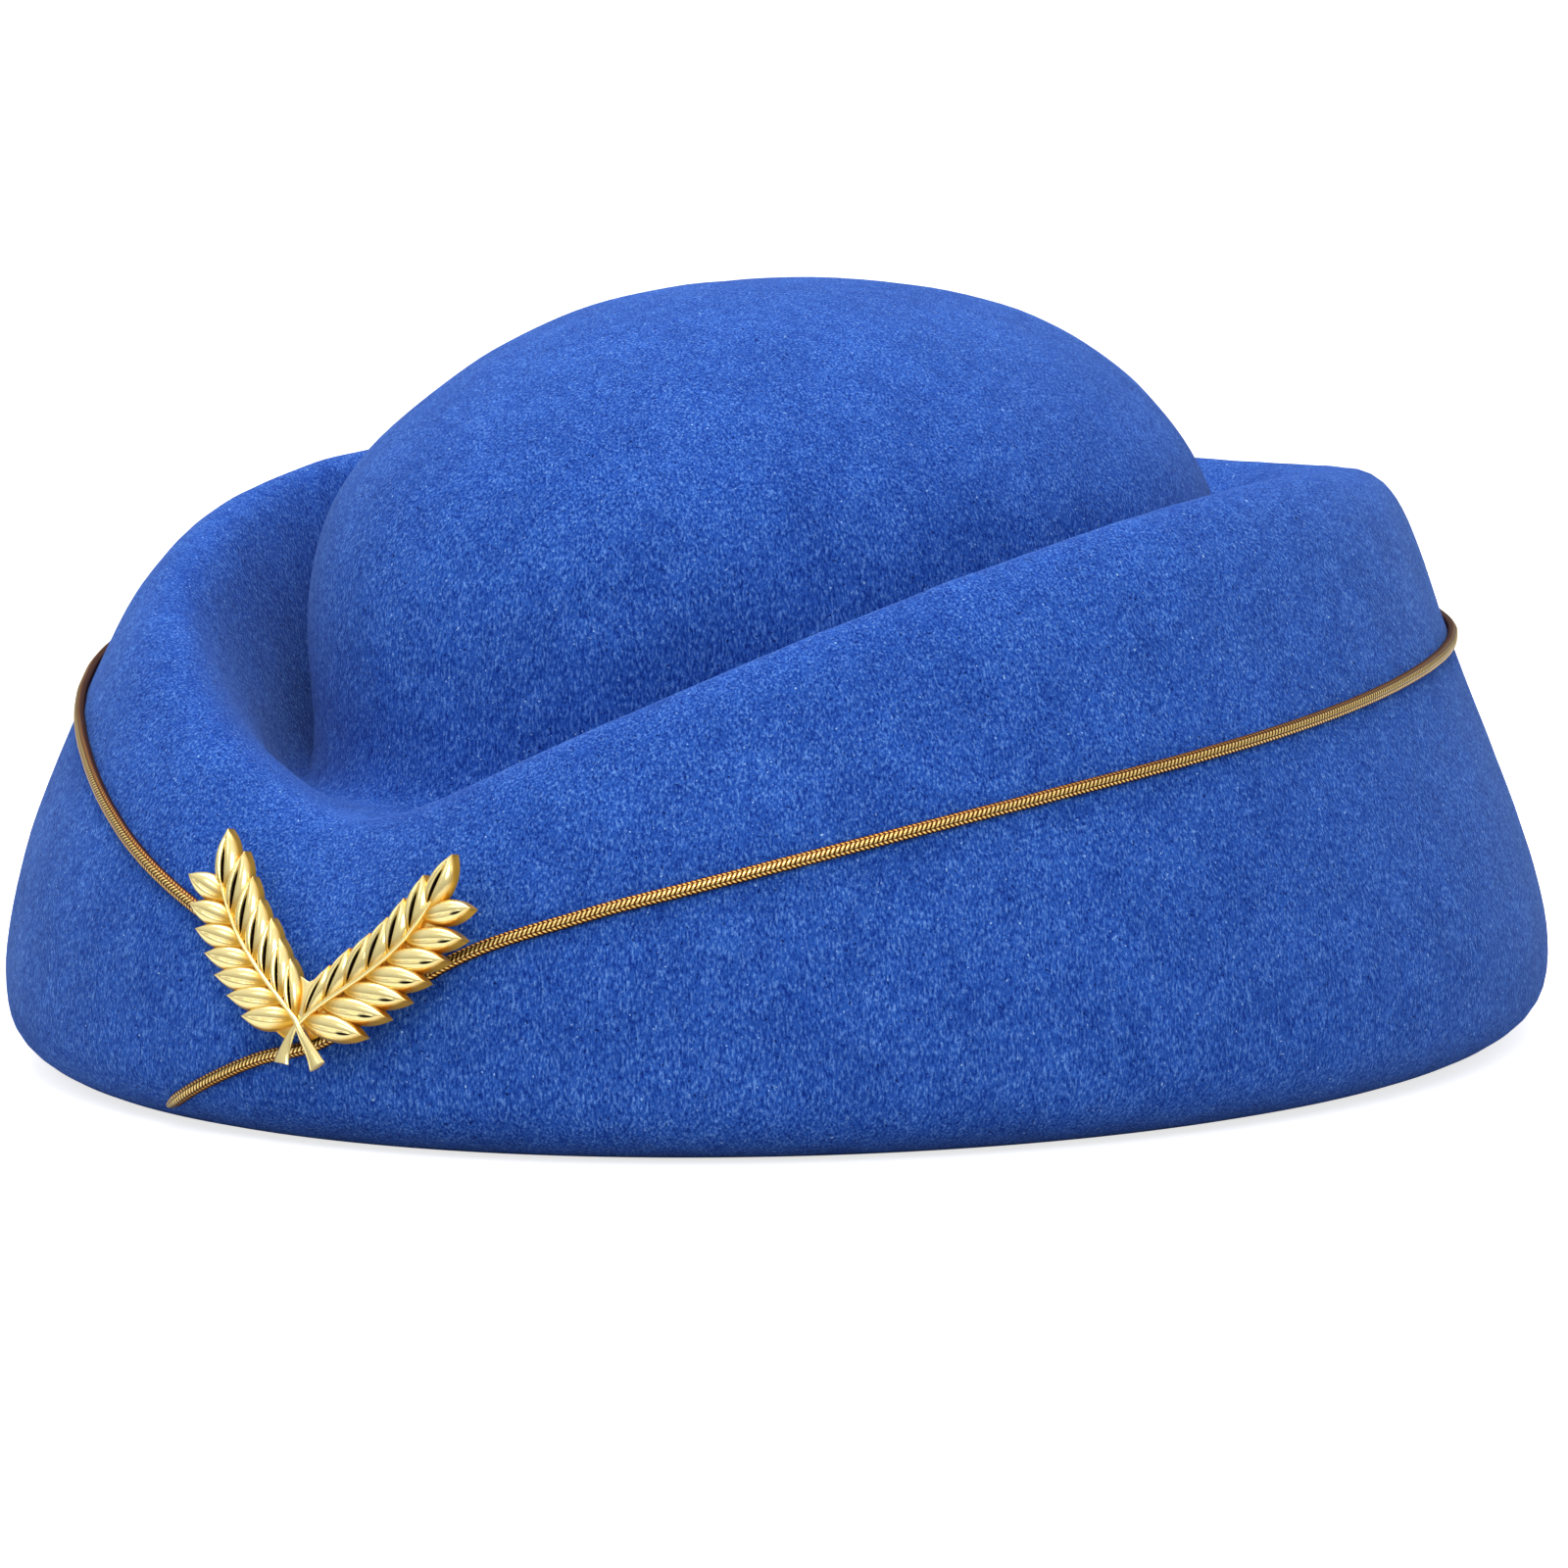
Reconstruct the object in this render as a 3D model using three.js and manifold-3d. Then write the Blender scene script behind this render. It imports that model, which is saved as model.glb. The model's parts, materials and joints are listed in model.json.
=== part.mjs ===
// Felt uniform hat with an upturned cuff, a metallic cord and a laurel badge.
// Millimetres, +Z up. The front faces -Y and the wearer's left is +X.
// The origin lies on the resting plane, under the middle of the outline.
import * as THREE from "three";
import { mergeVertices } from "three/addons/utils/BufferGeometryUtils.js";
import Module from "manifold-3d";

const wasm = await Module();
wasm.setup();

// Hat outline
const HAT_LENGTH = 267;
const HAT_WIDTH = 238;
const HAT_HEIGHT = 122.5;
const CROWN_LENGTH = 175;
const CROWN_WIDTH = 134;
const HEAD_LENGTH = 197;
const HEAD_WIDTH = 168;

// Height of the cuff's ridge at the front, the sides and the back
const CUFF_FRONT = 46;
const CUFF_SIDE = 97;
const CUFF_BACK = 88;

// Felt wall, lift of its raw edge and the front dip's half width and rounding in degrees
const FELT = 2.5;
const HEM_LIFT = 3.5;
const DIP_SPREAD = 46;
const DIP_ROUNDING = 11;

// Largest facet along the profile and facets round the hat
const FACET = 11;
const FACETS_ROUND = 48;

// Running clearance between neighbouring pieces
const GAP = 0.3;

// Cord
const CORD = 2.2;
const CORD_SIDES = 8;
const CORD_STEPS = 80;

// Badge: two sprays that cross, BADGE_OFFSET to the wearer's left of the middle
const BADGE_OFFSET = 9.5;
const SPRAY_LENGTH = 34.5;
const SPRAY_ANGLE = 37;
const LEAF_WIDTH = 3.5;
const LEAF_EDGE = 0.7;
const LEAF_CREST = 1.9;
const STEM = 1.5;
const PRONG = 1.2;
const PRONG_BEND = 4;

// Corners closer than this are one corner
const WELD = 0.02;

// Sections of the crown. Each is a level ring: its reaches are shares of half the crown,
// its height is a share of the hat's height.
const CROWN_ROWS = [
  { name: "cap_inner", side: 0.245, front: 0.230, back: 0.256, height: 0.992 },
  { name: "cap", side: 0.540, front: 0.494, back: 0.580, height: 0.950 },
  { name: "shoulder", side: 0.782, front: 0.734, back: 0.793, height: 0.857 },
  { name: "crown_side", side: 0.976, front: 0.919, back: 0.897, height: 0.740 },
  { name: "crown_waist", side: 1.020, front: 1.006, back: 0.984, height: 0.580 },
  { name: "crown_foot", side: 0.962, front: 0.997, back: 0.991, height: 0.430 },
];

// Sections of the groove, the cuff and the outer wall. The reaches run from half the crown
// (0) to half the hat (1), the heights are shares of the cuff's height on that side.
const CUFF_ROWS = [
  { name: "groove", side: -0.035, front: 0.052, back: -0.004, sideZ: 0.405, frontZ: 1.01, backZ: 0.481 },
  { name: "groove_out", side: 0.030, front: 0.141, back: 0.046, sideZ: 0.480, frontZ: 0.98, backZ: 0.549 },
  { name: "inner_wall", side: 0.102, front: 0.250, back: 0.098, sideZ: 0.689, frontZ: 0.98, backZ: 0.713 },
  { name: "ridge_in", side: 0.179, front: 0.396, back: 0.165, sideZ: 0.905, frontZ: 1.00, backZ: 0.891 },
  { name: "ridge_top", side: 0.265, front: 0.543, back: 0.283, sideZ: 1.040, frontZ: 1.02, backZ: 0.960 },
  { name: "ridge_out", side: 0.485, front: 0.650, back: 0.563, sideZ: 0.987, frontZ: 0.935, backZ: 1.049 },
  { name: "wall_high", side: 0.617, front: 0.787, back: 0.635, sideZ: 0.812, frontZ: 0.77, backZ: 0.886 },
  { name: "wall_low", side: 0.860, front: 0.913, back: 0.791, sideZ: 0.495, frontZ: 0.574, backZ: 0.557 },
  { name: "widest", side: 1.013, front: 0.941, back: 1.035, sideZ: 0.230, frontZ: 0.370, backZ: 0.259 },
  { name: "turn", side: 1.015, front: 0.980, back: 1.067, sideZ: 0.052, frontZ: 0.120, backZ: 0.057 },
];

// Sections of the flat underside and the raw edge. The reaches run from half the hat (0) to
// half the head opening (1), the lift is a share of HEM_LIFT.
const UNDERSIDE_ROWS = [
  { name: "floor_outer", side: 0.314, front: 0.286, back: 0.220, lift: 0 },
  { name: "floor_mid", side: 0.460, front: 0.477, back: 0.420, lift: 0 },
  { name: "floor_inner", side: 0.620, front: 0.643, back: 0.617, lift: 0 },
  { name: "floor_end", side: 0.810, front: 0.814, back: 0.814, lift: 0 },
  { name: "hem", side: 1.000, front: 0.986, back: 1.014, lift: 1 },
];

// Route of the cord on the felt: turn in degrees from the front, positive to the wearer's
// left, and place down the sections, counted in rows from cap_inner.
const CORD_ROUTE = [
  { turn: -7, row: 12.57 },
  { turn: -11, row: 12.47 },
  { turn: -22, row: 12.28 },
  { turn: -32, row: 12.13 },
  { turn: -42, row: 12.05 },
  { turn: -65, row: 12.03 },
  { turn: -90, row: 12.08 },
  { turn: -120, row: 12.18 },
  { turn: -150, row: 12.26 },
  { turn: -180, row: 12.30 },
  { turn: -210, row: 12.32 },
  { turn: -235, row: 12.34 },
  { turn: -253, row: 12.37 },
  { turn: -278, row: 12.46 },
  { turn: -297, row: 12.53 },
  { turn: -313, row: 12.62 },
  { turn: -327, row: 12.73 },
  { turn: -335, row: 12.81 },
  { turn: -343, row: 12.98 },
  { turn: -349, row: 13.38 },
  { turn: -355, row: 14.02 },
  { turn: -360, row: 14.30 },
  { turn: -364, row: 14.62 },
  { turn: -367.5, row: 14.95 },
  { turn: -370.5, row: 15.27 },
];

// Spray of the badge, as shares of SPRAY_LENGTH: "along" runs from the crossing to the end
// leaf's tip, "out" to the outer side, "root" is the place on the stem where a leaf starts.
const STEM_LINE = [
  { along: -0.195, out: 0.017 },
  { along: -0.104, out: 0.003 },
  { along: 0.000, out: 0.000 },
  { along: 0.180, out: 0.052 },
  { along: 0.365, out: 0.100 },
  { along: 0.580, out: 0.140 },
  { along: 0.810, out: 0.113 },
];
const LEAVES = [
  { name: "end", along: 1.000, out: 0.000, root: 0.780 },
  { name: "inner_1", along: 0.852, out: -0.035, root: 0.690 },
  { name: "inner_2", along: 0.719, out: -0.032, root: 0.555 },
  { name: "inner_3", along: 0.603, out: -0.032, root: 0.430 },
  { name: "inner_4", along: 0.493, out: -0.052, root: 0.310 },
  { name: "inner_5", along: 0.377, out: -0.075, root: 0.195 },
  { name: "inner_6", along: 0.255, out: -0.101, root: 0.080 },
  { name: "outer_1", along: 0.925, out: 0.261, root: 0.735 },
  { name: "outer_2", along: 0.803, out: 0.319, root: 0.615 },
  { name: "outer_3", along: 0.678, out: 0.328, root: 0.495 },
  { name: "outer_4", along: 0.562, out: 0.330, root: 0.380 },
  { name: "outer_5", along: 0.441, out: 0.325, root: 0.265 },
  { name: "outer_6", along: 0.325, out: 0.299, root: 0.150 },
  { name: "outer_7", along: 0.200, out: 0.267, root: 0.040 },
];

// Outline of a leaf: half width at each share of its length
const LEAF_OUTLINE = [
  { at: 0.00, half: 0.35 },
  { at: 0.38, half: 1.00 },
  { at: 0.75, half: 0.66 },
];

// Web plate between the stems, as shares of SPRAY_LENGTH from the crossing
const WEB_OUTLINE = [
  { across: 0.00, up: -0.03 },
  { across: 0.11, up: 0.10 },
  { across: 0.09, up: 0.23 },
  { across: 0.00, up: 0.19 },
  { across: -0.09, up: 0.23 },
  { across: -0.11, up: 0.10 },
];

// Place of the badge on the felt: the rows under the crossing and under the spray tips
const BADGE_ROWS = { crossing: 13.92, tips: 11.92 };
const PRONG_AT = 0.45;

const { lerp, degToRad, radToDeg } = THREE.MathUtils;

// Depth of the front dip at a turn: 1 at the front, fading to both sides
function dip(turn) {
  const away = Math.abs(radToDeg(Math.atan2(Math.sin(turn), Math.cos(turn))));
  return Math.exp(-(Math.hypot(away, DIP_ROUNDING) - DIP_ROUNDING) / DIP_SPREAD);
}

// Point of an oval ring at a turn in radians from the front
function ovalPoint(turn, side, front, back, z) {
  const y = (back - front) / 2 - ((back + front) / 2) * Math.cos(turn);
  return new THREE.Vector3(side * Math.sin(turn), y, z);
}

function crownPoint(row, turn) {
  const side = (row.side * CROWN_WIDTH) / 2;
  const front = (row.front * CROWN_LENGTH) / 2;
  const back = (row.back * CROWN_LENGTH) / 2;
  return ovalPoint(turn, side, front, back, row.height * HAT_HEIGHT);
}

function cuffPoint(row, turn) {
  const side = lerp(CROWN_WIDTH / 2, HAT_WIDTH / 2, row.side);
  const front = lerp(CROWN_LENGTH / 2, HAT_LENGTH / 2, row.front);
  const back = lerp(CROWN_LENGTH / 2, HAT_LENGTH / 2, row.back);
  const backZ = row.backZ * CUFF_BACK;
  const level = lerp(row.sideZ * CUFF_SIDE, backZ, Math.cos(turn) ** 2);
  const z = level - (backZ - row.frontZ * CUFF_FRONT) * dip(turn);
  return ovalPoint(turn, side, front, back, z);
}

function undersidePoint(row, turn) {
  const side = lerp(HAT_WIDTH / 2, HEAD_WIDTH / 2, row.side);
  const front = lerp(HAT_LENGTH / 2, HEAD_LENGTH / 2, row.front);
  const back = lerp(HAT_LENGTH / 2, HEAD_LENGTH / 2, row.back);
  return ovalPoint(turn, side, front, back, row.lift * HEM_LIFT);
}

const SECTIONS = [
  ...CROWN_ROWS.map((row) => (turn) => crownPoint(row, turn)),
  ...CUFF_ROWS.map((row) => (turn) => cuffPoint(row, turn)),
  ...UNDERSIDE_ROWS.map((row) => (turn) => undersidePoint(row, turn)),
];
const LAST_ROW = SECTIONS.length - 1;
const APEX = new THREE.Vector3(0, 0, HAT_HEIGHT);

// Control point of the felt surface. Row -1 is the apex, row -2 mirrors the first ring
// across it, and the row past the edge carries the last slope on.
function control(index, turn) {
  if (index === -1) return APEX.clone();
  if (index === -2) return SECTIONS[0](turn + Math.PI);
  if (index <= LAST_ROW) return SECTIONS[index](turn);
  return SECTIONS[LAST_ROW](turn).multiplyScalar(2).sub(SECTIONS[LAST_ROW - 1](turn));
}

// Point of the outer felt face: a cubic B-spline through the sections
function feltPoint(row, turn) {
  const first = Math.min(Math.floor(row), LAST_ROW - 1);
  const t = row - first;
  const weights = [
    (1 - t) ** 3,
    3 * t ** 3 - 6 * t ** 2 + 4,
    -3 * t ** 3 + 3 * t ** 2 + 3 * t + 1,
    t ** 3,
  ];
  const point = new THREE.Vector3();
  weights.forEach((weight, k) => point.addScaledVector(control(first - 1 + k, turn), weight / 6));
  return point;
}

// Outward normal of the felt, from differences along and across the profile
function feltNormal(row, turn) {
  const step = 1e-3;
  const down = feltPoint(Math.min(row + step, LAST_ROW), turn);
  down.sub(feltPoint(Math.max(row - step, -1), turn));
  const round = feltPoint(row, turn + step).sub(feltPoint(row, turn - step));
  if (row <= -1) return new THREE.Vector3(0, 0, 1);
  return down.cross(round).normalize();
}

// Point at a height above the felt, or inside it where the height is negative
function feltOffset(row, turn, height) {
  return feltPoint(row, turn).addScaledVector(feltNormal(row, turn), height);
}

// Rows of facets from the apex to the raw edge, closer where the profile is short
function facetRows() {
  const rows = [];
  for (let row = -1; row < LAST_ROW; row += 1) {
    const length = feltPoint(row, Math.PI / 2).distanceTo(feltPoint(row + 1, Math.PI / 2));
    const parts = Math.max(1, Math.round(length / FACET));
    for (let part = 0; part < parts; part += 1) rows.push(row + part / parts);
  }
  return [...rows, LAST_ROW];
}

function geometryFrom(positions, triangles) {
  const geometry = new THREE.BufferGeometry();
  geometry.setAttribute("position", new THREE.Float32BufferAttribute(positions, 3));
  geometry.setIndex(triangles);
  return geometry;
}

// Felt wall as one closed skin: outer face, raw edge and inner face
function feltGeometry() {
  const rows = facetRows().slice(1);
  const positions = [];
  const triangles = [];
  const faces = [0, -FELT].map((height) => {
    const apex = positions.length / 3;
    positions.push(...feltOffset(-1, 0, height).toArray());
    for (const row of rows) {
      for (let k = 0; k < FACETS_ROUND; k += 1) {
        const turn = (2 * Math.PI * k) / FACETS_ROUND;
        positions.push(...feltOffset(row, turn, height).toArray());
      }
    }
    return { apex, at: (row, k) => apex + 1 + row * FACETS_ROUND + (k % FACETS_ROUND) };
  });
  const quad = (a, b, c, d) => triangles.push(a, b, c, a, c, d);
  const [outer, inner] = faces;
  const last = rows.length - 1;
  for (let k = 0; k < FACETS_ROUND; k += 1) {
    triangles.push(outer.apex, outer.at(0, k), outer.at(0, k + 1));
    triangles.push(inner.apex, inner.at(0, k + 1), inner.at(0, k));
    for (let row = 0; row < last; row += 1) {
      quad(outer.at(row, k), outer.at(row + 1, k), outer.at(row + 1, k + 1), outer.at(row, k + 1));
      quad(inner.at(row, k), inner.at(row, k + 1), inner.at(row + 1, k + 1), inner.at(row + 1, k));
    }
    quad(outer.at(last, k), inner.at(last, k), inner.at(last, k + 1), outer.at(last, k + 1));
  }
  return geometryFrom(positions, triangles);
}

// Turns a closed geometry into a solid that can be joined and cut
function solid(geometry) {
  const plain = geometry.clone();
  plain.deleteAttribute("normal");
  plain.deleteAttribute("uv");
  const merged = mergeVertices(plain, 1e-4);
  const mesh = new wasm.Mesh({
    numProp: 3,
    vertProperties: new Float32Array(merged.attributes.position.array),
    triVerts: new Uint32Array(merged.index.array),
  });
  return new wasm.Manifold(mesh);
}

// Geometry of a solid, with corners closer than WELD joined and collapsed facets dropped
function geometryOf(body) {
  const mesh = body.getMesh();
  const merged = mergeVertices(geometryFrom(Array.from(mesh.vertProperties), Array.from(mesh.triVerts)), WELD);
  const corners = merged.index.array;
  const facets = new Map();
  for (let k = 0; k < corners.length; k += 3) {
    const facet = [corners[k], corners[k + 1], corners[k + 2]];
    if (new Set(facet).size < 3) continue;
    const key = [...facet].sort((a, b) => a - b).join();
    if (facets.has(key)) facets.delete(key);
    else facets.set(key, facet);
  }
  return geometryFrom(Array.from(merged.attributes.position.array), [...facets.values()].flat());
}

// Round bar along a smooth line through points
function barGeometry(points, radius, sides, steps) {
  const section = new THREE.Shape();
  for (let k = 0; k < sides; k += 1) {
    const angle = (2 * Math.PI * k) / sides;
    const x = radius * Math.cos(angle);
    const y = radius * Math.sin(angle);
    if (k === 0) section.moveTo(x, y);
    else section.lineTo(x, y);
  }
  section.closePath();
  const extrudePath = new THREE.CatmullRomCurve3(points, false, "centripetal");
  return new THREE.ExtrudeGeometry(section, { steps, extrudePath, bevelEnabled: false });
}

// Height of the cord's centre line: it clears the felt by GAP at the middle of each step too
function cordHeight() {
  const step = (Math.PI * (HAT_LENGTH + HAT_WIDTH)) / 2 / CORD_STEPS;
  const sag = step ** 2 / (4 * Math.min(HAT_LENGTH, HAT_WIDTH));
  return CORD / 2 + GAP + sag;
}

function cordGeometry() {
  const route = new THREE.SplineCurve(CORD_ROUTE.map(({ turn, row }) => new THREE.Vector2(turn, row)));
  const points = route.getPoints(3 * CORD_STEPS).map((place) => {
    return feltOffset(place.y, degToRad(place.x), cordHeight());
  });
  return barGeometry(points, CORD / 2, CORD_SIDES, CORD_STEPS);
}

// Frame of the badge: its back lies parallel to the wall between the crossing and the tips
function badgeFrame() {
  const turnAt = (row) => Math.asin(BADGE_OFFSET / feltPoint(row, Math.PI / 2).x);
  const foot = feltPoint(BADGE_ROWS.crossing, turnAt(BADGE_ROWS.crossing));
  const head = feltPoint(BADGE_ROWS.tips, turnAt(BADGE_ROWS.tips));
  const right = new THREE.Vector3(1, 0, 0);
  const up = head.clone().sub(foot).setX(0).normalize();
  const out = right.clone().cross(up).normalize();
  let bulge = 0;
  for (let row = BADGE_ROWS.tips; row <= BADGE_ROWS.crossing; row += 0.1) {
    bulge = Math.max(bulge, feltPoint(row, turnAt(row)).sub(foot).dot(out));
  }
  const standOff = bulge + cordHeight() + CORD / 2 + GAP;
  const origin = foot.clone().addScaledVector(out, standOff);
  return { origin, right, up, out, matrix: new THREE.Matrix4().makeBasis(right, up, out).setPosition(origin) };
}

// Place in a spray's own plane, with hand 1 for the right spray and -1 for the left
function sprayPlace(along, out, hand) {
  const angle = degToRad(SPRAY_ANGLE);
  const across = along * Math.sin(angle) + out * Math.cos(angle);
  const up = along * Math.cos(angle) - out * Math.sin(angle);
  return new THREE.Vector2(hand * across, up).multiplyScalar(SPRAY_LENGTH);
}

function stemPlace(along, hand) {
  const next = Math.max(1, STEM_LINE.findIndex((point) => point.along >= along));
  const [a, b] = [STEM_LINE[next - 1], STEM_LINE[next]];
  const share = (along - a.along) / (b.along - a.along);
  return sprayPlace(along, lerp(a.out, b.out, share), hand);
}

// Leaf with a raised midrib: flat back, upright edge and two sloping halves
function leafGeometry(root, tip) {
  const axis = tip.clone().sub(root);
  const across = new THREE.Vector2(-axis.y, axis.x).normalize().multiplyScalar(LEAF_WIDTH / 2);
  const place = (at, half) => root.clone().addScaledVector(axis, at).addScaledVector(across, half);
  const right = LEAF_OUTLINE.map(({ at, half }) => place(at, -half));
  const left = LEAF_OUTLINE.map(({ at, half }) => place(at, half)).reverse();
  const rim = [...right, tip, ...left];
  const ridge = LEAF_OUTLINE.map(({ at }) => place(at, 0));
  const positions = [];
  const triangles = [];
  rim.forEach((point) => positions.push(point.x, point.y, 0));
  rim.forEach((point) => positions.push(point.x, point.y, LEAF_EDGE));
  ridge.forEach((point, k) => {
    const crest = k === 0 ? (LEAF_EDGE + LEAF_CREST) / 2 : LEAF_CREST;
    positions.push(point.x, point.y, crest);
  });
  const count = rim.length;
  const last = ridge.length - 1;
  const top = (k) => count + (k % count);
  const crest = (k) => 2 * count + k;
  for (let k = 0; k < count; k += 1) {
    const next = (k + 1) % count;
    triangles.push(k, next, top(next), k, top(next), top(k));
    if (k > 0 && next > 0) triangles.push(0, next, k);
  }
  for (let k = 0; k < last; k += 1) {
    const a = top(k);
    const b = top(k + 1);
    const c = top(count - 1 - k);
    const d = top(count - 2 - k);
    triangles.push(a, b, crest(k + 1), a, crest(k + 1), crest(k));
    triangles.push(d, c, crest(k), d, crest(k), crest(k + 1));
  }
  triangles.push(top(last), top(last + 1), crest(last));
  triangles.push(top(last + 1), top(last + 2), crest(last));
  triangles.push(top(count - 1), top(0), crest(0));
  return geometryFrom(positions, triangles);
}

// Meeting point of the felt with the line from a point along the badge's back normal
function feltBehind(frame, place) {
  const start = new THREE.Vector3(place.x, place.y, 0).applyMatrix4(frame.matrix);
  const guess = { row: BADGE_ROWS.crossing, turn: 0 };
  const miss = (row, turn) => {
    const gap = feltPoint(row, turn).sub(start);
    return new THREE.Vector2(gap.dot(frame.right), gap.dot(frame.up));
  };
  const step = 1e-4;
  for (let round = 0; round < 12; round += 1) {
    const here = miss(guess.row, guess.turn);
    const byRow = miss(guess.row + step, guess.turn).sub(here).divideScalar(step);
    const byTurn = miss(guess.row, guess.turn + step).sub(here).divideScalar(step);
    const area = byRow.cross(byTurn);
    guess.row -= here.cross(byTurn) / area;
    guess.turn -= byRow.cross(here) / area;
  }
  return { start, ...guess };
}

// Prong that passes through the felt and is bent over against its inner face
function prong(frame, hand) {
  const behind = feltBehind(frame, stemPlace(PRONG_AT, hand));
  const outer = feltPoint(behind.row, behind.turn);
  const normal = feltNormal(behind.row, behind.turn);
  const through = FELT / normal.dot(frame.out);
  const inner = outer.clone().addScaledVector(frame.out, -through);
  const along = frame.up.clone().addScaledVector(normal, -frame.up.dot(normal)).normalize();
  const lie = PRONG / 2 + 2 * GAP;
  const elbow = inner.clone().addScaledVector(frame.out, -lie);
  const end = elbow.clone().addScaledVector(along, PRONG_BEND).addScaledVector(normal, -GAP);
  const root = behind.start.clone().addScaledVector(frame.out, LEAF_EDGE / 2);
  const bar = barGeometry([root, outer, inner, elbow, end], PRONG / 2, 6, 10);
  const hole = new THREE.CylinderGeometry(PRONG / 2 + GAP, PRONG / 2 + GAP, 3 * through, 8);
  hole.rotateX(Math.PI / 2);
  hole.applyMatrix4(new THREE.Matrix4().makeBasis(frame.right, frame.up, frame.out));
  hole.translate(...outer.clone().add(inner).divideScalar(2).toArray());
  return { bar, hole };
}

// One spray: its leaves, its stem and the flared foot of the stem
function sprayParts(hand) {
  const leaves = LEAVES.map(({ along, out, root }) => {
    return leafGeometry(stemPlace(root, hand), sprayPlace(along, out, hand));
  });
  const line = STEM_LINE.map(({ along, out }) => {
    const place = sprayPlace(along, out, hand);
    return new THREE.Vector3(place.x, place.y, STEM / 2);
  });
  return [...leaves, barGeometry(line, STEM / 2, 6, 10)];
}

function webGeometry() {
  const outline = WEB_OUTLINE.map(({ across, up }) => new THREE.Vector2(across, up).multiplyScalar(SPRAY_LENGTH));
  return new THREE.ExtrudeGeometry(new THREE.Shape(outline), { depth: LEAF_EDGE, bevelEnabled: false });
}

const frame = badgeFrame();
const prongs = [-1, 1].map((hand) => prong(frame, hand));
const castingParts = [...sprayParts(-1), ...sprayParts(1), webGeometry()];
const casting = geometryOf(wasm.Manifold.union(castingParts.map(solid)));
casting.applyMatrix4(frame.matrix);
const badge = wasm.Manifold.union([casting, ...prongs.map(({ bar }) => bar)].map(solid));
const felt = solid(feltGeometry()).subtract(wasm.Manifold.union(prongs.map(({ hole }) => solid(hole))));

const blueFelt = new THREE.MeshStandardMaterial({ color: 0x3258b2, roughness: 0.95, metalness: 0 });
const goldCord = new THREE.MeshStandardMaterial({ color: 0xa87a2c, roughness: 0.45, metalness: 0.8 });
const paleGold = new THREE.MeshStandardMaterial({ color: 0xe8cf82, roughness: 0.25, metalness: 1 });

function piece(name, geometry, material) {
  const mesh = new THREE.Mesh(geometry, material);
  mesh.name = name;
  return mesh;
}

const group = new THREE.Group();
group.add(piece("felt_body", geometryOf(felt), blueFelt));
group.add(piece("braided_cord", cordGeometry(), goldCord));
group.add(piece("laurel_badge", geometryOf(badge), paleGold));

// The origin stands under the middle of the outline
const middle = new THREE.Box3().setFromObject(group).getCenter(new THREE.Vector3());
group.position.set(-middle.x, -middle.y, 0);

export default group;
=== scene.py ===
"""Flight attendant hat: blue wool felt with a turned-up cuff, a gold braided cord and a laurel badge.

Metres, +Z up. The front of the hat faces -Y and the wearer's left is +X. The forms are worked out in
millimetres and made metres when a mesh is placed.
"""

import json
import logging
import math
from collections.abc import Callable
from dataclasses import dataclass
from enum import Enum, IntEnum
from typing import ClassVar, NamedTuple

import bmesh
import bpy
import numpy as np
from bpy.types import ID, Material, Mesh, Node, NodeSocket, NodeTree, Object
from mathutils import Matrix, Vector, noise

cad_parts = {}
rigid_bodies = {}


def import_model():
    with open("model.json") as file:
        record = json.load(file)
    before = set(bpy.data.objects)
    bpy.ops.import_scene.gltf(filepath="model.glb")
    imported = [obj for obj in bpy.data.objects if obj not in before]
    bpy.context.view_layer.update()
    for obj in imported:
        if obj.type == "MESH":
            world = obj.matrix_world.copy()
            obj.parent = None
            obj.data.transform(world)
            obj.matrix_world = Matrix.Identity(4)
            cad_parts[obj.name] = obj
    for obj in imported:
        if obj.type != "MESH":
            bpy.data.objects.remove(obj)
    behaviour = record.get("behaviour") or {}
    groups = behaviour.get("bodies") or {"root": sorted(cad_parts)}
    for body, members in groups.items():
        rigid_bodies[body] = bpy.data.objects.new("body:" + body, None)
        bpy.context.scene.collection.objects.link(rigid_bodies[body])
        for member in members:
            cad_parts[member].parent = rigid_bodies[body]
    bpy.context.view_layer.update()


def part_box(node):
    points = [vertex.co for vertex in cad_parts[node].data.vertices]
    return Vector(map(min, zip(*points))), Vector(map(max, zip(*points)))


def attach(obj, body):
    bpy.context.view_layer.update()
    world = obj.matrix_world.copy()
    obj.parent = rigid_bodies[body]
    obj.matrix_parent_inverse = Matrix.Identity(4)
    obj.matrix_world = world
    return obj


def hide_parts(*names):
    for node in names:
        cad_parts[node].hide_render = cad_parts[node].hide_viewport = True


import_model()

MM = 0.001
log = logging.getLogger("hat")


class CrownRow(NamedTuple):
    """Level ring of the crown: reaches as shares of half the crown, height as a share of the hat's."""

    name: str
    side: float
    front: float
    back: float
    height: float


class CuffRow(NamedTuple):
    """Ring of the cuff: reaches from half the crown (0) to half the hat (1), heights as shares of the cuff's."""

    name: str
    side: float
    front: float
    back: float
    side_z: float
    front_z: float
    back_z: float


class UnderRow(NamedTuple):
    """Ring of the underside: reaches from half the hat (0) to half the head opening (1), lift as a share."""

    name: str
    side: float
    front: float
    back: float
    lift: float


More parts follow.
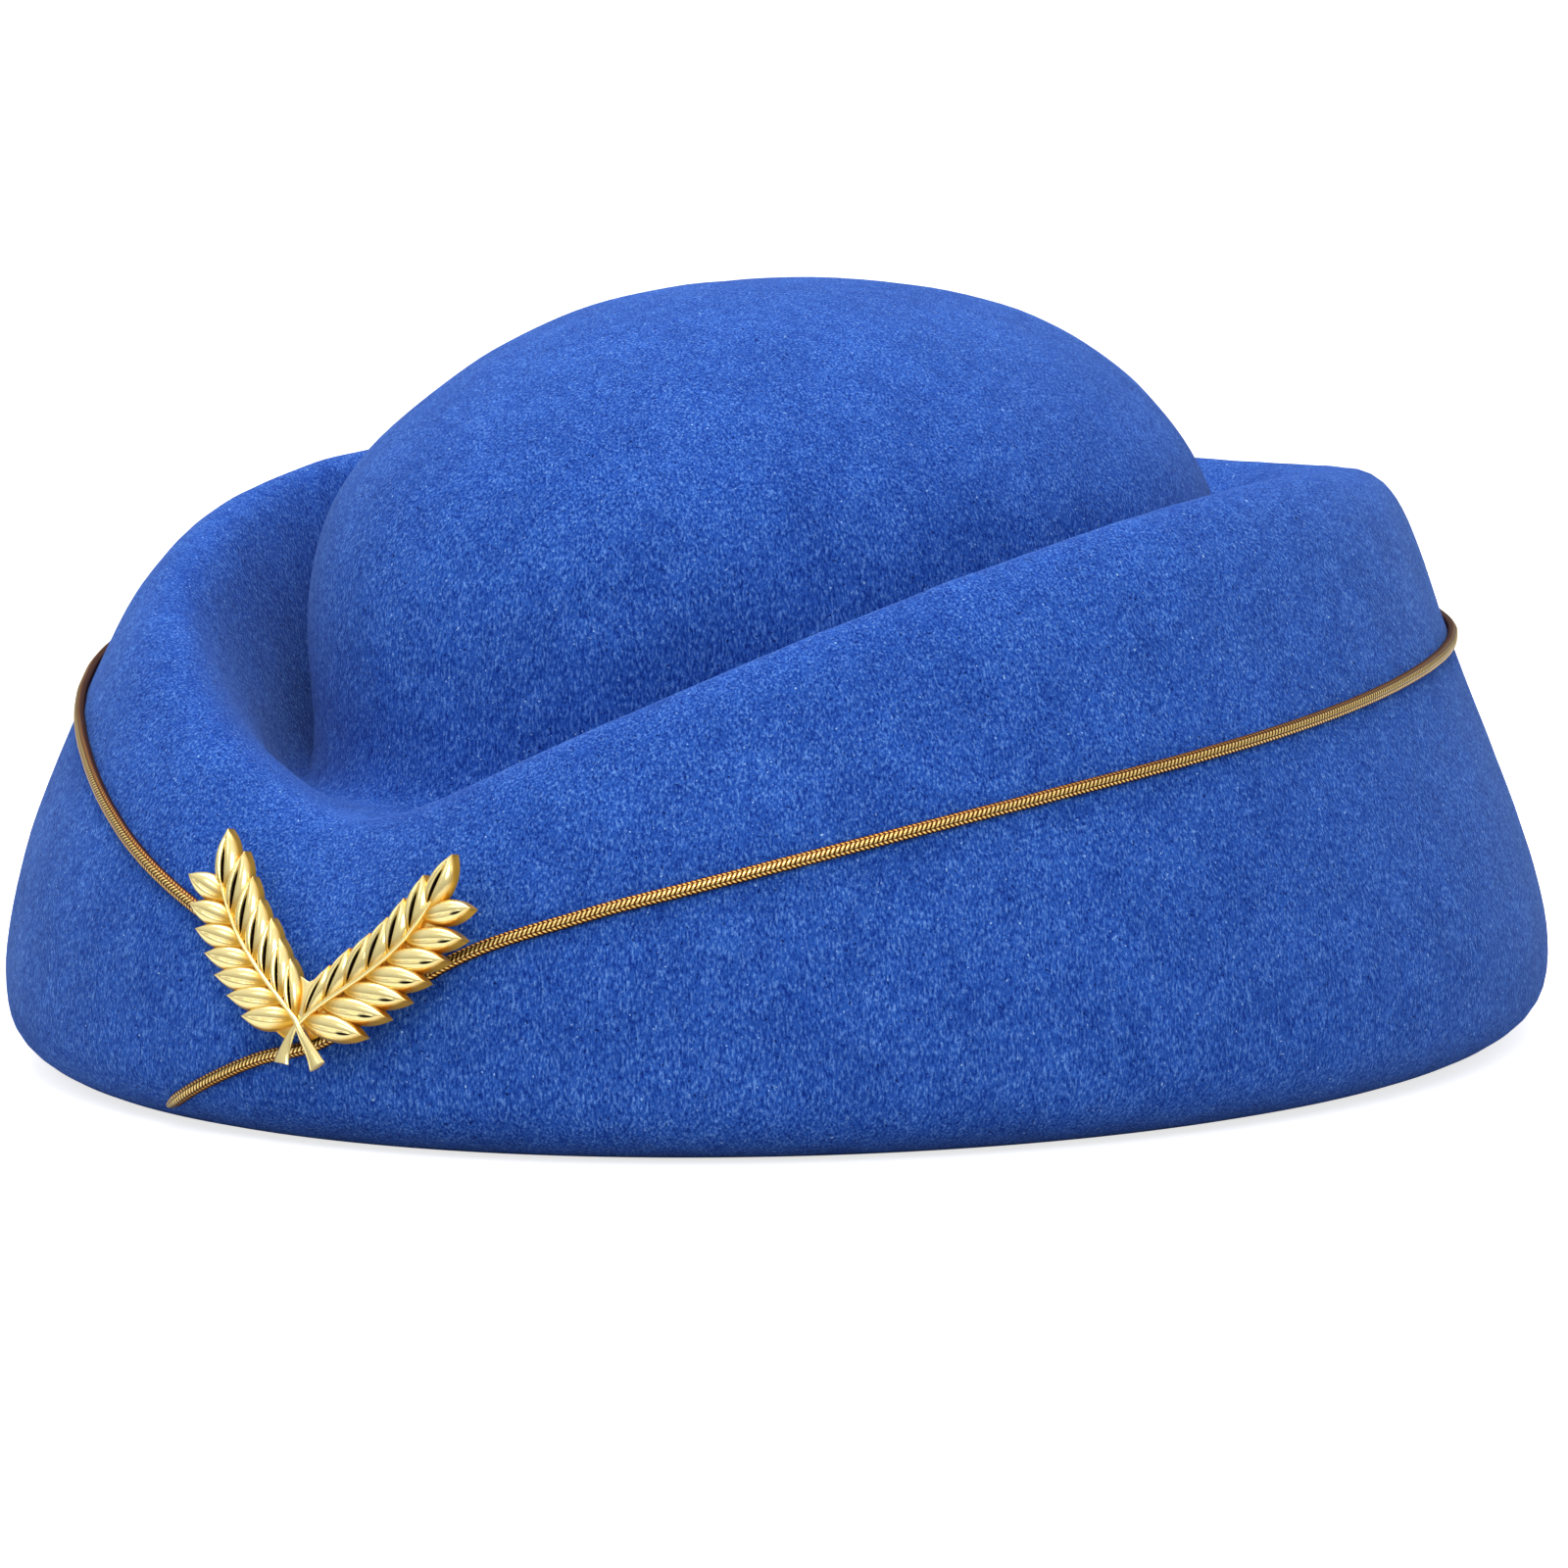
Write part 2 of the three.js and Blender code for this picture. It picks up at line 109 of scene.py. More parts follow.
CROWN_ROWS = (
    CrownRow("cap_inner", 0.245, 0.230, 0.256, 0.992),
    CrownRow("cap", 0.540, 0.494, 0.580, 0.950),
    CrownRow("shoulder", 0.782, 0.734, 0.793, 0.857),
    CrownRow("crown_side", 0.976, 0.919, 0.897, 0.740),
    CrownRow("crown_waist", 1.020, 1.006, 0.984, 0.580),
    CrownRow("crown_foot", 0.962, 0.997, 0.991, 0.430),
)
CUFF_ROWS = (
    CuffRow("groove", -0.035, 0.052, -0.004, 0.405, 1.01, 0.481),
    CuffRow("groove_out", 0.030, 0.141, 0.046, 0.480, 0.98, 0.549),
    CuffRow("inner_wall", 0.102, 0.250, 0.098, 0.689, 0.98, 0.713),
    CuffRow("ridge_in", 0.179, 0.396, 0.165, 0.905, 1.00, 0.891),
    CuffRow("ridge_top", 0.265, 0.543, 0.283, 1.040, 1.02, 0.960),
    CuffRow("ridge_out", 0.485, 0.650, 0.563, 0.987, 0.935, 1.049),
    CuffRow("wall_high", 0.617, 0.787, 0.635, 0.812, 0.77, 0.886),
    CuffRow("wall_low", 0.860, 0.913, 0.791, 0.495, 0.574, 0.557),
    CuffRow("widest", 1.013, 0.941, 1.035, 0.230, 0.370, 0.259),
    CuffRow("turn", 1.015, 0.980, 1.067, 0.052, 0.120, 0.057),
)
UNDER_ROWS = (
    UnderRow("floor_outer", 0.314, 0.286, 0.220, 0.0),
    UnderRow("floor_mid", 0.460, 0.477, 0.420, 0.0),
    UnderRow("floor_inner", 0.620, 0.643, 0.617, 0.0),
    UnderRow("floor_end", 0.810, 0.814, 0.814, 0.0),
    UnderRow("hem", 1.000, 0.986, 1.014, 1.0),
)

# Route of the cord on the felt: turn in degrees from the front, positive to the wearer's left, and
# place down the sections, counted in rows from cap_inner.
CORD_ROUTE = (
    (-7, 12.57), (-11, 12.47), (-22, 12.28), (-32, 12.13), (-42, 12.05), (-65, 12.03), (-90, 12.08),
    (-120, 12.18), (-150, 12.26), (-180, 12.30), (-210, 12.32), (-235, 12.34), (-253, 12.37),
    (-278, 12.46), (-297, 12.53), (-313, 12.62), (-327, 12.73), (-335, 12.81), (-343, 12.98),
    (-349, 13.38), (-355, 14.02), (-360, 14.30), (-364, 14.62), (-367.5, 14.95), (-370.5, 15.27),
)


class Hand(IntEnum):
    """One of the badge's two sprays, as seen from the front."""

    LEFT = -1
    RIGHT = 1


# Stems of the badge's sprays as shares of a spray's length: along from the crossing to the end leaf's
# tip, out to the outer side of the V.
STEM_LINES = {
    Hand.LEFT: (
        (-0.222, -0.021), (-0.168, -0.020), (-0.082, -0.014), (0.000, -0.008), (0.059, 0.006), (0.162, 0.036),
        (0.288, 0.072), (0.415, 0.101), (0.534, 0.120), (0.665, 0.123), (0.799, 0.114),
    ),
    Hand.RIGHT: (
        (-0.160, 0.068), (-0.117, 0.041), (-0.057, 0.016), (0.009, 0.004), (0.115, 0.018), (0.225, 0.048),
        (0.356, 0.086), (0.491, 0.114), (0.605, 0.121), (0.704, 0.112), (0.796, 0.094),
    ),
}


class Side(Enum):
    """Side of the stem that a leaf grows on."""

    END = "end"
    INNER = "inner"
    OUTER = "outer"


class Leaf(NamedTuple):
    """Leaf of a spray: its start on the stem, its tip on the left and the right spray, its share of the width."""

    side: Side
    root: float
    left: tuple[float, float]
    right: tuple[float, float]
    broad: float = 1.0


LEAVES = (
    Leaf(Side.END, 0.760, (1.014, -0.004), (0.997, 0.007)),
    Leaf(Side.INNER, 0.640, (0.870, -0.043), (0.843, -0.032)),
    Leaf(Side.INNER, 0.510, (0.739, -0.040), (0.713, -0.027)),
    Leaf(Side.INNER, 0.390, (0.621, -0.039), (0.605, -0.024)),
    Leaf(Side.INNER, 0.275, (0.512, -0.059), (0.502, -0.036)),
    Leaf(Side.INNER, 0.160, (0.405, -0.065), (0.390, -0.063), 0.85),
    Leaf(Side.INNER, 0.045, (0.291, -0.080), (0.276, -0.079), 0.72),
    Leaf(Side.OUTER, 0.735, (0.939, 0.252), (0.917, 0.266)),
    Leaf(Side.OUTER, 0.615, (0.809, 0.294), (0.807, 0.342)),
    Leaf(Side.OUTER, 0.495, (0.687, 0.307), (0.689, 0.350)),
    Leaf(Side.OUTER, 0.380, (0.557, 0.304), (0.567, 0.351)),
    Leaf(Side.OUTER, 0.265, (0.437, 0.293), (0.452, 0.344)),
    Leaf(Side.OUTER, 0.150, (0.316, 0.269), (0.336, 0.323)),
    Leaf(Side.OUTER, 0.040, (0.189, 0.236), (0.205, 0.296)),
)
WEB_OUTLINE = ((0.00, -0.03), (0.11, 0.10), (0.09, 0.23), (0.00, 0.19), (-0.09, 0.23), (-0.11, 0.10))


def linear(hex_colour: str) -> tuple[float, float, float, float]:
    """Turns an sRGB hex colour to linear light.

    Args:
        hex_colour: six hex digits after a hash.

    Returns:
        Red, green, blue and a full alpha.
    """
    parts = [int(hex_colour[k : k + 2], 16) / 255 for k in (1, 3, 5)]
    return (*[p / 12.92 if p <= 0.04045 else ((p + 0.055) / 1.055) ** 2.4 for p in parts], 1.0)


def fill(tree: NodeTree, node: Node, inputs: dict) -> None:
    """Gives a node its values and links.

    Args:
        tree: the node's tree.
        node: the node.
        inputs: input name or number to a value, a hex colour, or an output that is linked to it.
    """
    for name, value in inputs.items():
        if isinstance(value, NodeSocket):
            tree.links.new(value, node.inputs[name])
        else:
            node.inputs[name].default_value = linear(value) if isinstance(value, str) else value


def add_node(tree: NodeTree, kind: str, inputs: dict | None = None, **settings: object) -> Node:
    """Adds a node.

    Args:
        tree: the tree that gets the node.
        kind: Blender's type name of the node, without ShaderNode.
        inputs: its values and links, as for fill.
        settings: the node's own properties.

    Returns:
        The new node.
    """
    made = tree.nodes.new(f"ShaderNode{kind}")
    for name, value in settings.items():
        setattr(made, name, value)
    fill(tree, made, inputs or {})
    return made


def calc(tree: NodeTree, operation: str, *values: object) -> NodeSocket:
    """Works out a number.

    Args:
        tree: the tree that gets the node.
        operation: Blender's name of the operation.
        values: its numbers or outputs, in order.

    Returns:
        The result's output.
    """
    return add_node(tree, "Math", dict(enumerate(values)), operation=operation).outputs[0]


def grains(tree: NodeTree, place: NodeSocket, size_mm: float, detail: float = 2.0, fine: float = 0.5) -> NodeSocket:
    """Adds a noise of a real size.

    Args:
        tree: the tree that gets the node.
        place: the coordinates that it follows.
        size_mm: width of a grain in millimetres.
        detail: octaves of finer grain.
        fine: strength of each finer octave.

    Returns:
        The noise's factor.
    """
    inputs = {"Vector": place, "Scale": 1 / (size_mm * MM), "Detail": detail, "Roughness": fine}
    return add_node(tree, "TexNoise", inputs).outputs["Fac"]


def ramp(tree: NodeTree, factor: NodeSocket, low: float, high: float) -> NodeSocket:
    """Stretches a factor so that low gives 0 and high gives 1.

    Args:
        tree: the tree that gets the node.
        factor: the output that is stretched.
        low: the value that becomes 0.
        high: the value that becomes 1.

    Returns:
        The stretched output.
    """
    inputs = {0: factor, 1: low, 2: high, 3: 0.0, 4: 1.0}
    return add_node(tree, "MapRange", inputs, interpolation_type="SMOOTHSTEP").outputs[0]


def blend(tree: NodeTree, factor: object, first: object, second: object, how: str = "MIX") -> NodeSocket:
    """Mixes two colours.

    Args:
        tree: the tree that gets the node.
        factor: share of the second colour, a number or an output.
        first: hex colour or output.
        second: hex colour or output.
        how: Blender's name of the mix.

    Returns:
        The mixed colour's output.
    """
    inputs = {0: factor, 6: first, 7: second}
    return add_node(tree, "Mix", inputs, data_type="RGBA", blend_type=how).outputs[2]


class Finish:
    """Look of a real material."""

    name: ClassVar[str]

    def look(self, tree: NodeTree) -> dict:
        """Values and links of the material's shader, for fill."""
        raise NotImplementedError

    def material(self) -> Material:
        """Builds the material.

        Returns:
            A material with one Principled shader.
        """
        made = bpy.data.materials.new(self.name)
        made.use_nodes = True
        tree = made.node_tree
        fill(tree, tree.nodes["Principled BSDF"], self.look(tree))
        return made


@dataclass(frozen=True)
class WoolFelt(Finish):
    """Blocked wool felt with a brushed nap. It scatters light softly and looks paler at a low angle.

    The sizes are those of the real felt's tufts and patches. Its single fibres are 0.03 mm thick, too
    fine to show, so tufts of them are drawn.
    """

    name = "wool_felt"
    pit: str = "#173891"
    middle: str = "#2e5eb7"
    pale: str = "#6994d9"
    fleck: str = "#a9cbf0"
    hole: str = "#0f2566"
    grain_dull: str = "#d3d8e2"
    patch_dull: str = "#dde3ee"
    mottle_dull: str = "#e4e8ee"
    grain_mm: float = 0.3
    nap_mm: float = 0.36
    nap_stretch: float = 0.4
    fleck_mm: float = 0.504
    patch_mm: float = 2.6
    mottle_mm: float = 13.0
    lean: tuple[float, float, float] = (0.3, 0.22, 0.2)
    roughness: float = 0.95
    gloss: float = 0.05
    sheen: float = 0.1
    sheen_spread: float = 0.3
    sheen_tint: str = "#cdeeff"

    def look(self, tree: NodeTree) -> dict:
        """Draws the felt: tufts over pits, pale flecks and dark holes, clouded by the brushing.

        Args:
            tree: the material's tree.

        Returns:
            Values and links of the shader.
        """
        place = add_node(tree, "TexCoord").outputs["Object"]
        brush = {"Vector": place, "Rotation": self.lean, "Scale": (1, 1, self.nap_stretch)}
        brushed = add_node(tree, "Mapping", brush).outputs[0]
        nap = grains(tree, brushed, self.nap_mm, 2.0, 0.65)
        grain = grains(tree, place, self.grain_mm, 1.0)
        patch = grains(tree, place, self.patch_mm, 2.0, 0.6)
        mottle = grains(tree, place, self.mottle_mm, 3.0, 0.6)
        fleck = grains(tree, place, self.fleck_mm, 0.0)
        colour = blend(tree, ramp(tree, nap, 0.32, 0.5), self.pit, self.middle)
        colour = blend(tree, ramp(tree, nap, 0.5, 0.7), colour, self.pale)
        colour = blend(tree, ramp(tree, fleck, 0.81, 0.87), colour, self.fleck)
        colour = blend(tree, ramp(tree, fleck, 0.235, 0.17), colour, self.hole)
        for clouds, dull in ((grain, self.grain_dull), (patch, self.patch_dull), (mottle, self.mottle_dull)):
            shade = blend(tree, ramp(tree, clouds, 0.3, 0.7), dull, "#ffffff")
            colour = blend(tree, 1.0, colour, shade, "MULTIPLY")
        rough = add_node(tree, "Bump", {"Strength": 0.6, "Distance": 0.25 * MM, "Height": grain})
        raised = {"Strength": 0.8, "Distance": 0.3 * MM, "Height": nap, "Normal": rough.outputs[0]}
        hairy = add_node(tree, "Bump", raised)
        return {
            "Base Color": colour,
            "Normal": hairy.outputs[0],
            "Roughness": self.roughness,
            "Specular IOR Level": self.gloss,
            "Sheen Weight": self.sheen,
            "Sheen Roughness": self.sheen_spread,
            "Sheen Tint": self.sheen_tint,
        }


@dataclass(frozen=True)
class GoldBraid(Finish):
    """Round braid of metallised thread. Each stitch's crest gets a painted highlight over the metal's own, and the
    sides that face the felt are painted brown and dark as shade.
    """

    name = "gold_braid"
    # Painted light: a pale highlight on the crests, brown shade on the sides toward the felt and dark shade in the
    # gaps. thread is the thread's own colour.
    painted_glint: str = "#fff0a2"
    highlight_in_painted_shade: str = "#eca230"
    thread: str = "#d68d22"
    thread_in_painted_shade: str = "#98500c"
    seam_painted_shade: str = "#3a1805"
    roughness: float = 0.28
    metallic: float = 0.9
    lean: float = 1.1
    uv_map: str = "braid"

    def look(self, tree: NodeTree) -> dict:
        """Draws the braid: stitches that lean to and fro from band to band, with painted shade in the gaps between them
        and on the sides that face the felt.

        Args:
            tree: the material's tree.

        Returns:
            Values and links of the shader.
        """
        facing = add_node(tree, "Attribute", attribute_name="facing").outputs["Fac"]
        woven = add_node(tree, "UVMap", uv_map=self.uv_map).outputs["UV"]
        split = add_node(tree, "SeparateXYZ", {0: woven}).outputs
        across = calc(tree, "SUBTRACT", calc(tree, "FRACT", split["Y"]), 0.5)
        odd = calc(tree, "MODULO", calc(tree, "FLOOR", split["Y"]), 2.0)
        hand = calc(tree, "MULTIPLY_ADD", odd, -2.0, 1.0)
        phase = calc(tree, "MULTIPLY_ADD", calc(tree, "MULTIPLY", hand, self.lean), across, split["X"])
        wave = calc(tree, "COSINE", calc(tree, "MULTIPLY", phase, math.tau))
        stitch = ramp(tree, wave, -0.95, 0.2)
        middle = ramp(tree, calc(tree, "ABSOLUTE", across), 0.5, 0.28)
        # Sides that face the felt get painted shade, the top keeps the brighter colours.
        top = ramp(tree, facing, 0.4, 0.95)
        thread = blend(tree, top, self.thread_in_painted_shade, self.thread)
        painted_glint = blend(tree, top, self.highlight_in_painted_shade, self.painted_glint)
        colour = blend(tree, ramp(tree, wave, -0.2, 1.0), thread, painted_glint)
        # Painted shade in the gaps between stitches and between bands, and a painted contact shadow where the cord
        # meets the felt.
        colour = blend(tree, stitch, self.seam_painted_shade, colour)
        colour = blend(tree, middle, self.seam_painted_shade, colour)
        colour = blend(tree, ramp(tree, facing, 0.74, 0.2), colour, self.seam_painted_shade)
        rough = add_node(tree, "MapRange", {0: facing, 1: 0.0, 2: 0.7, 3: 0.6, 4: self.roughness})
        return {"Base Color": colour, "Roughness": rough.outputs[0], "Metallic": self.metallic}


@dataclass(frozen=True)
class PlatedCasting(Finish):
    """Die casting with pale gold plating, polished on its raised faces and dull in its creases."""

    name = "plated_casting"
    # face is the plating's pale gold, lifted into a painted highlight where the casting stands high; the next colour is
    # painted shade in deeper gold low down and on the walls; crease is near-black painted shade and dark reflection in
    # the creases and beside some leaf tips.
    face: str = "#ffeba4"
    recess_painted_shade: str = "#dba638"
    crease: str = "#170b03"
    roughness: float = 0.17
    dull_roughness: float = 0.38
    metallic: float = 0.85
    ripple_mm: float = 1.3

    def look(self, tree: NodeTree) -> dict:
        """Draws the plating: a painted highlight where the casting stands high, painted shade in deeper gold low down,
        and dark brown painted shade and dark reflection in the creases.

        Args:
            tree: the material's tree.

        Returns:
            Values and links of the shader.
        """
        place = add_node(tree, "TexCoord").outputs["Object"]
        height = add_node(tree, "Attribute", attribute_name="height").outputs["Fac"]
        crease = add_node(tree, "Attribute", attribute_name="crease").outputs["Fac"]
        ripple = grains(tree, place, self.ripple_mm)
        # Painted light: pale highlight up high, deeper gold shade low down, then dark shade in the creases.
        colour = blend(tree, ramp(tree, height, 0.35, 0.8), self.recess_painted_shade, self.face)
        colour = blend(tree, ramp(tree, crease, 0.2, 0.6), colour, self.crease)
        rough = add_node(tree, "MapRange", {0: height, 1: 0.2, 2: 0.8, 3: self.dull_roughness, 4: self.roughness})
        bump = add_node(tree, "Bump", {"Strength": 0.2, "Distance": 0.12 * MM, "Height": ripple})
        return {
            "Base Color": colour,
            "Normal": bump.outputs[0],
            "Roughness": rough.outputs[0],
            "Metallic": self.metallic,
        }


@dataclass(frozen=True)
class MattePaper(Finish):
    """Matte pale studio paper. It throws soft light up at the hat and glows a little, so that it looks white."""

    name = "matte_paper"
    colour: str = "#d2d2d2"
    colour_high: str = "#d6d6d6"
    glow: float = 0.75
    roughness: float = 0.9
    tooth_mm: float = 1.11

    def look(self, tree: NodeTree) -> dict:
        """Draws the paper, with a faint tooth.

        Args:
            tree: the material's tree.

        Returns:
            Values and links of the shader.
        """
        place = add_node(tree, "TexCoord").outputs["Object"]
        tooth = grains(tree, place, self.tooth_mm)
        ray = add_node(tree, "LightPath").outputs["Is Camera Ray"]
        return {
            "Base Color": blend(tree, tooth, self.colour, self.colour_high),
            "Roughness": self.roughness,
            "Emission Color": "#ffffff",
            "Emission Strength": calc(tree, "MULTIPLY", ray, self.glow),
        }


def choose(piece: Object) -> None:
    """Selects one object and makes it active.

    Args:
        piece: the object.
    """
    for other in bpy.context.selected_objects:
        other.select_set(False)
    piece.select_set(True)
    bpy.context.view_layer.objects.active = piece


def primitive(name: str, add: Callable, **settings: object) -> Object:
    """Adds one of Blender's primitive meshes.

    Args:
        name: the new object's name.
        add: Blender's operator that adds it.
        settings: the operator's settings.

    Returns:
        The new object, selected and active.
    """
    add(**settings)
    piece = bpy.context.active_object
    piece.name = piece.data.name = name
    return piece


def add_object(name: str, data: ID) -> Object:
    """Makes an object of its data and puts it in the scene."""
    made = bpy.data.objects.new(name, data)
    bpy.context.collection.objects.link(made)
    return made


def open_mesh(piece: Object) -> bmesh.types.BMesh:
    """Enters edit mode and opens the active object's mesh."""
    bpy.ops.object.mode_set(mode="EDIT")
    return bmesh.from_edit_mesh(piece.data)


def close_mesh() -> None:
    """Turns all faces outward and leaves edit mode."""
    bpy.ops.mesh.select_all(action="SELECT")
    bpy.ops.mesh.normals_make_consistent(inside=False)
    bpy.ops.object.mode_set(mode="OBJECT")


def dress(piece: Object, material: Material, smooth_below: float) -> None:
    """Smooths a piece and gives it its material.

    Args:
        piece: the piece.
        material: its only material.
        smooth_below: angle in degrees past which an edge stays sharp.
    """
    choose(piece)
    bpy.ops.object.shade_smooth_by_angle(angle=math.radians(smooth_below))
    piece.data.materials.clear()
    piece.data.materials.append(material)


def apply_modifier(piece: Object, kind: str, **settings: object) -> None:
    """Adds a modifier and applies it.

    Args:
        piece: the object that gets it.
        kind: Blender's type name of the modifier.
        settings: the modifier's properties.
    """
    choose(piece)
    made = piece.modifiers.new(kind.lower(), kind)
    for name, value in settings.items():
        setattr(made, name, value)
    bpy.ops.object.modifier_apply(modifier=made.name)


def loft(name: str, rings: list[np.ndarray], tip: np.ndarray | None = None, closed: bool = False) -> Object:
    """Models a skin from a circle that is extruded ring by ring.

    Args:
        name: the new object's name.
        rings: corners of each ring in millimetres, all with as many corners.
        tip: point that closes the last ring, or None.
        closed: True to fill both end rings.

    Returns:
        The new object, with its place in its mesh.
    """
    piece = primitive(name, bpy.ops.mesh.primitive_circle_add, vertices=len(rings[0]), radius=1.0)
    mesh = open_mesh(piece)
    mesh.verts.ensure_lookup_table()
    ordered = list(mesh.verts)
    if closed:
        bpy.ops.mesh.edge_face_add()
        mesh = bmesh.from_edit_mesh(piece.data)
        ordered = list(mesh.verts)
    places = place_ring(ordered, rings[0])
    for face in mesh.faces:
        face.select_set(False)
    for edge in mesh.edges:
        edge.select_set(True)
    for ring in rings[1:]:
        bpy.ops.mesh.extrude_edges_move()
        mesh = bmesh.from_edit_mesh(piece.data)
        fresh = {vertex.co.to_tuple(): vertex for vertex in mesh.verts if vertex.select}
        places = place_ring([fresh[place] for place in places], ring)
    if closed:
        bpy.ops.mesh.edge_face_add()
    if tip is not None:
        bpy.ops.mesh.extrude_edges_move()
        bpy.ops.mesh.merge(type="CENTER")
        mesh = bmesh.from_edit_mesh(piece.data)
        next(vertex for vertex in mesh.verts if vertex.select).co = Vector(tip) * MM
    close_mesh()
    return piece


def place_ring(vertices: list[bmesh.types.BMVert], ring: np.ndarray) -> list[tuple[float, float, float]]:
    """Moves a ring of vertices to its corners.

    Args:
        vertices: the ring in order.
        ring: corners in millimetres.

    Returns:
        The new places, by which the next ring is matched.
    """
    for vertex, corner in zip(vertices, ring):
        vertex.co = Vector(corner) * MM
    return [vertex.co.to_tuple() for vertex in vertices]


def catmull(points: np.ndarray, steps: int) -> np.ndarray:
    """Smooth line through points.

    Args:
        points: the points that it meets, one to a row.
        steps: steps between two points.

    Returns:
        The line's points.
    """
    padded = np.vstack([points[0], points, points[-1]])
    t = np.arange(steps)[:, None] / steps
    spans = []
    for a, b, c, d in zip(padded, padded[1:], padded[2:], padded[3:]):
        spans.append(b + ((c - a) * t + (2 * a - 5 * b + 4 * c - d) * t**2 + (3 * b - a - 3 * c + d) * t**3) / 2)
    return np.vstack([*spans, points[-1:]])


def unit(vectors: np.ndarray) -> np.ndarray:
    """Vectors made one long."""
    return vectors / np.linalg.norm(vectors, axis=-1, keepdims=True)


def square_to(vectors: np.ndarray, ahead: np.ndarray) -> np.ndarray:
    """Vectors turned square to the way ahead, made one long."""
    return unit(vectors - (vectors * ahead).sum(1, keepdims=True) * ahead)


def even_turns(count: int) -> np.ndarray:
    """Angles of as many corners spread evenly round, in radians."""
    return np.arange(count) * 2 * math.pi / count


def store(mesh: Mesh, name: str, values: np.ndarray) -> None:
    """Stores one number for each vertex, for a material to read."""
    mesh.attributes.new(name, "FLOAT", "POINT").data.foreach_set("value", values.astype(np.float32))


@dataclass
class FeltForm:
    """Smooth outer face of the felt, in millimetres: a cubic B-spline through the sections."""

    length: float = 267.0
    width: float = 238.0
    height: float = 122.5
    crown_length: float = 175.0
    crown_width: float = 134.0
    head_length: float = 197.0
    head_width: float = 168.0
    cuff_front: float = 46.0
    cuff_side: float = 97.0
    cuff_back: float = 88.0
    hem_lift: float = 3.5
    dip_spread: float = 46.0
    dip_rounding: float = 11.0
    shift: float = 0.0

    def __post_init__(self) -> None:
        """Moves the form to where the CAD's felt lies."""
        self.last = len(CROWN_ROWS) + len(CUFF_ROWS) + len(UNDER_ROWS) - 1
        widest = len(CROWN_ROWS) + len(CUFF_ROWS) - 2
        rows = np.linspace(widest - 1, widest + 2, 200)
        reach = self.point(rows, np.full(rows.size, math.pi))[:, 1].max()
        self.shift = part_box("felt_body")[1].y / MM - reach

    def dip(self, turns: np.ndarray) -> np.ndarray:
        """Depth of the cuff's front dip.

        Args:
            turns: turns in radians from the front.

        Returns:
            The depth at each turn: 1 at the front, falling to the sides.
        """
        away = np.abs(np.degrees(np.arctan2(np.sin(turns), np.cos(turns))))
        return np.exp(-(np.hypot(away, self.dip_rounding) - self.dip_rounding) / self.dip_spread)

    def oval(self, turns: np.ndarray, side: float, front: float, back: float, z: np.ndarray) -> np.ndarray:
        """Points of an oval ring.

        Args:
            turns: turns in radians from the front.
            side: half width.
            front: reach to the front.
            back: reach to the back.
            z: height at each turn.

        Returns:
            The points.
        """
        y = (back - front) / 2 - (back + front) / 2 * np.cos(turns) + self.shift
        return np.stack([side * np.sin(turns), y, z], axis=-1)

    def controls(self, turns: np.ndarray) -> np.ndarray:
        """Control points of all sections.

        Args:
            turns: turns in radians from the front.

        Returns:
            A row of points for each ring, from the apex's mirror row to one past the edge.
        """
        half_crown = np.array([self.crown_width, self.crown_length, self.crown_length]) / 2
        half_hat = np.array([self.width, self.length, self.length]) / 2
        half_head = np.array([self.head_width, self.head_length, self.head_length]) / 2
        flat = np.ones_like(turns)
        rings = []
        for row in CROWN_ROWS:
            reach = half_crown * (row.side, row.front, row.back)
            rings.append(self.oval(turns, *reach, row.height * self.height * flat))
        for row in CUFF_ROWS:
            reach = half_crown + (half_hat - half_crown) * (row.side, row.front, row.back)
            side_z = row.side_z * self.cuff_side
            back_z = row.back_z * self.cuff_back
            level = side_z + (back_z - side_z) * np.cos(turns) ** 2
            z = level - (back_z - row.front_z * self.cuff_front) * self.dip(turns)
            rings.append(self.oval(turns, *reach, z))
        for row in UNDER_ROWS:
            reach = half_hat + (half_head - half_hat) * (row.side, row.front, row.back)
            rings.append(self.oval(turns, *reach, row.lift * self.hem_lift * flat))
        apex = np.zeros_like(rings[0]) + (0.0, self.shift, self.height)
        first = CROWN_ROWS[0]
        reach = half_crown * (first.side, first.front, first.back)
        mirror = self.oval(turns + math.pi, *reach, first.height * self.height * flat)
        return np.stack([mirror, apex, *rings, 2 * rings[-1] - rings[-2]])

    def point(self, rows: np.ndarray, turns: np.ndarray) -> np.ndarray:
        """Points of the face.

        Args:
            rows: places down the sections, -1 at the apex.
            turns: turns in radians from the front.

        Returns:
            One point for each pair.
        """
        controls = self.controls(turns)
        first = np.minimum(np.floor(rows), self.last - 1).astype(int)
        t = rows - first
        weights = ((1 - t) ** 3, 3 * t**3 - 6 * t**2 + 4, -3 * t**3 + 3 * t**2 + 3 * t + 1, t**3)
        each = np.arange(turns.size)
        return sum(weight[:, None] * controls[first + 1 + k, each] for k, weight in enumerate(weights)) / 6

    def normal(self, rows: np.ndarray, turns: np.ndarray) -> np.ndarray:
        """Outward normals of the face.

        Args:
            rows: places down the sections, as for point.
            turns: turns in radians from the front.

        Returns:
            One normal for each pair.
        """
        step = 1e-3
        down = self.point(np.minimum(rows + step, self.last), turns) - self.point(np.maximum(rows - step, -1), turns)
        round_ = self.point(rows, turns + step) - self.point(rows, turns - step)
        return unit(np.cross(down, round_))


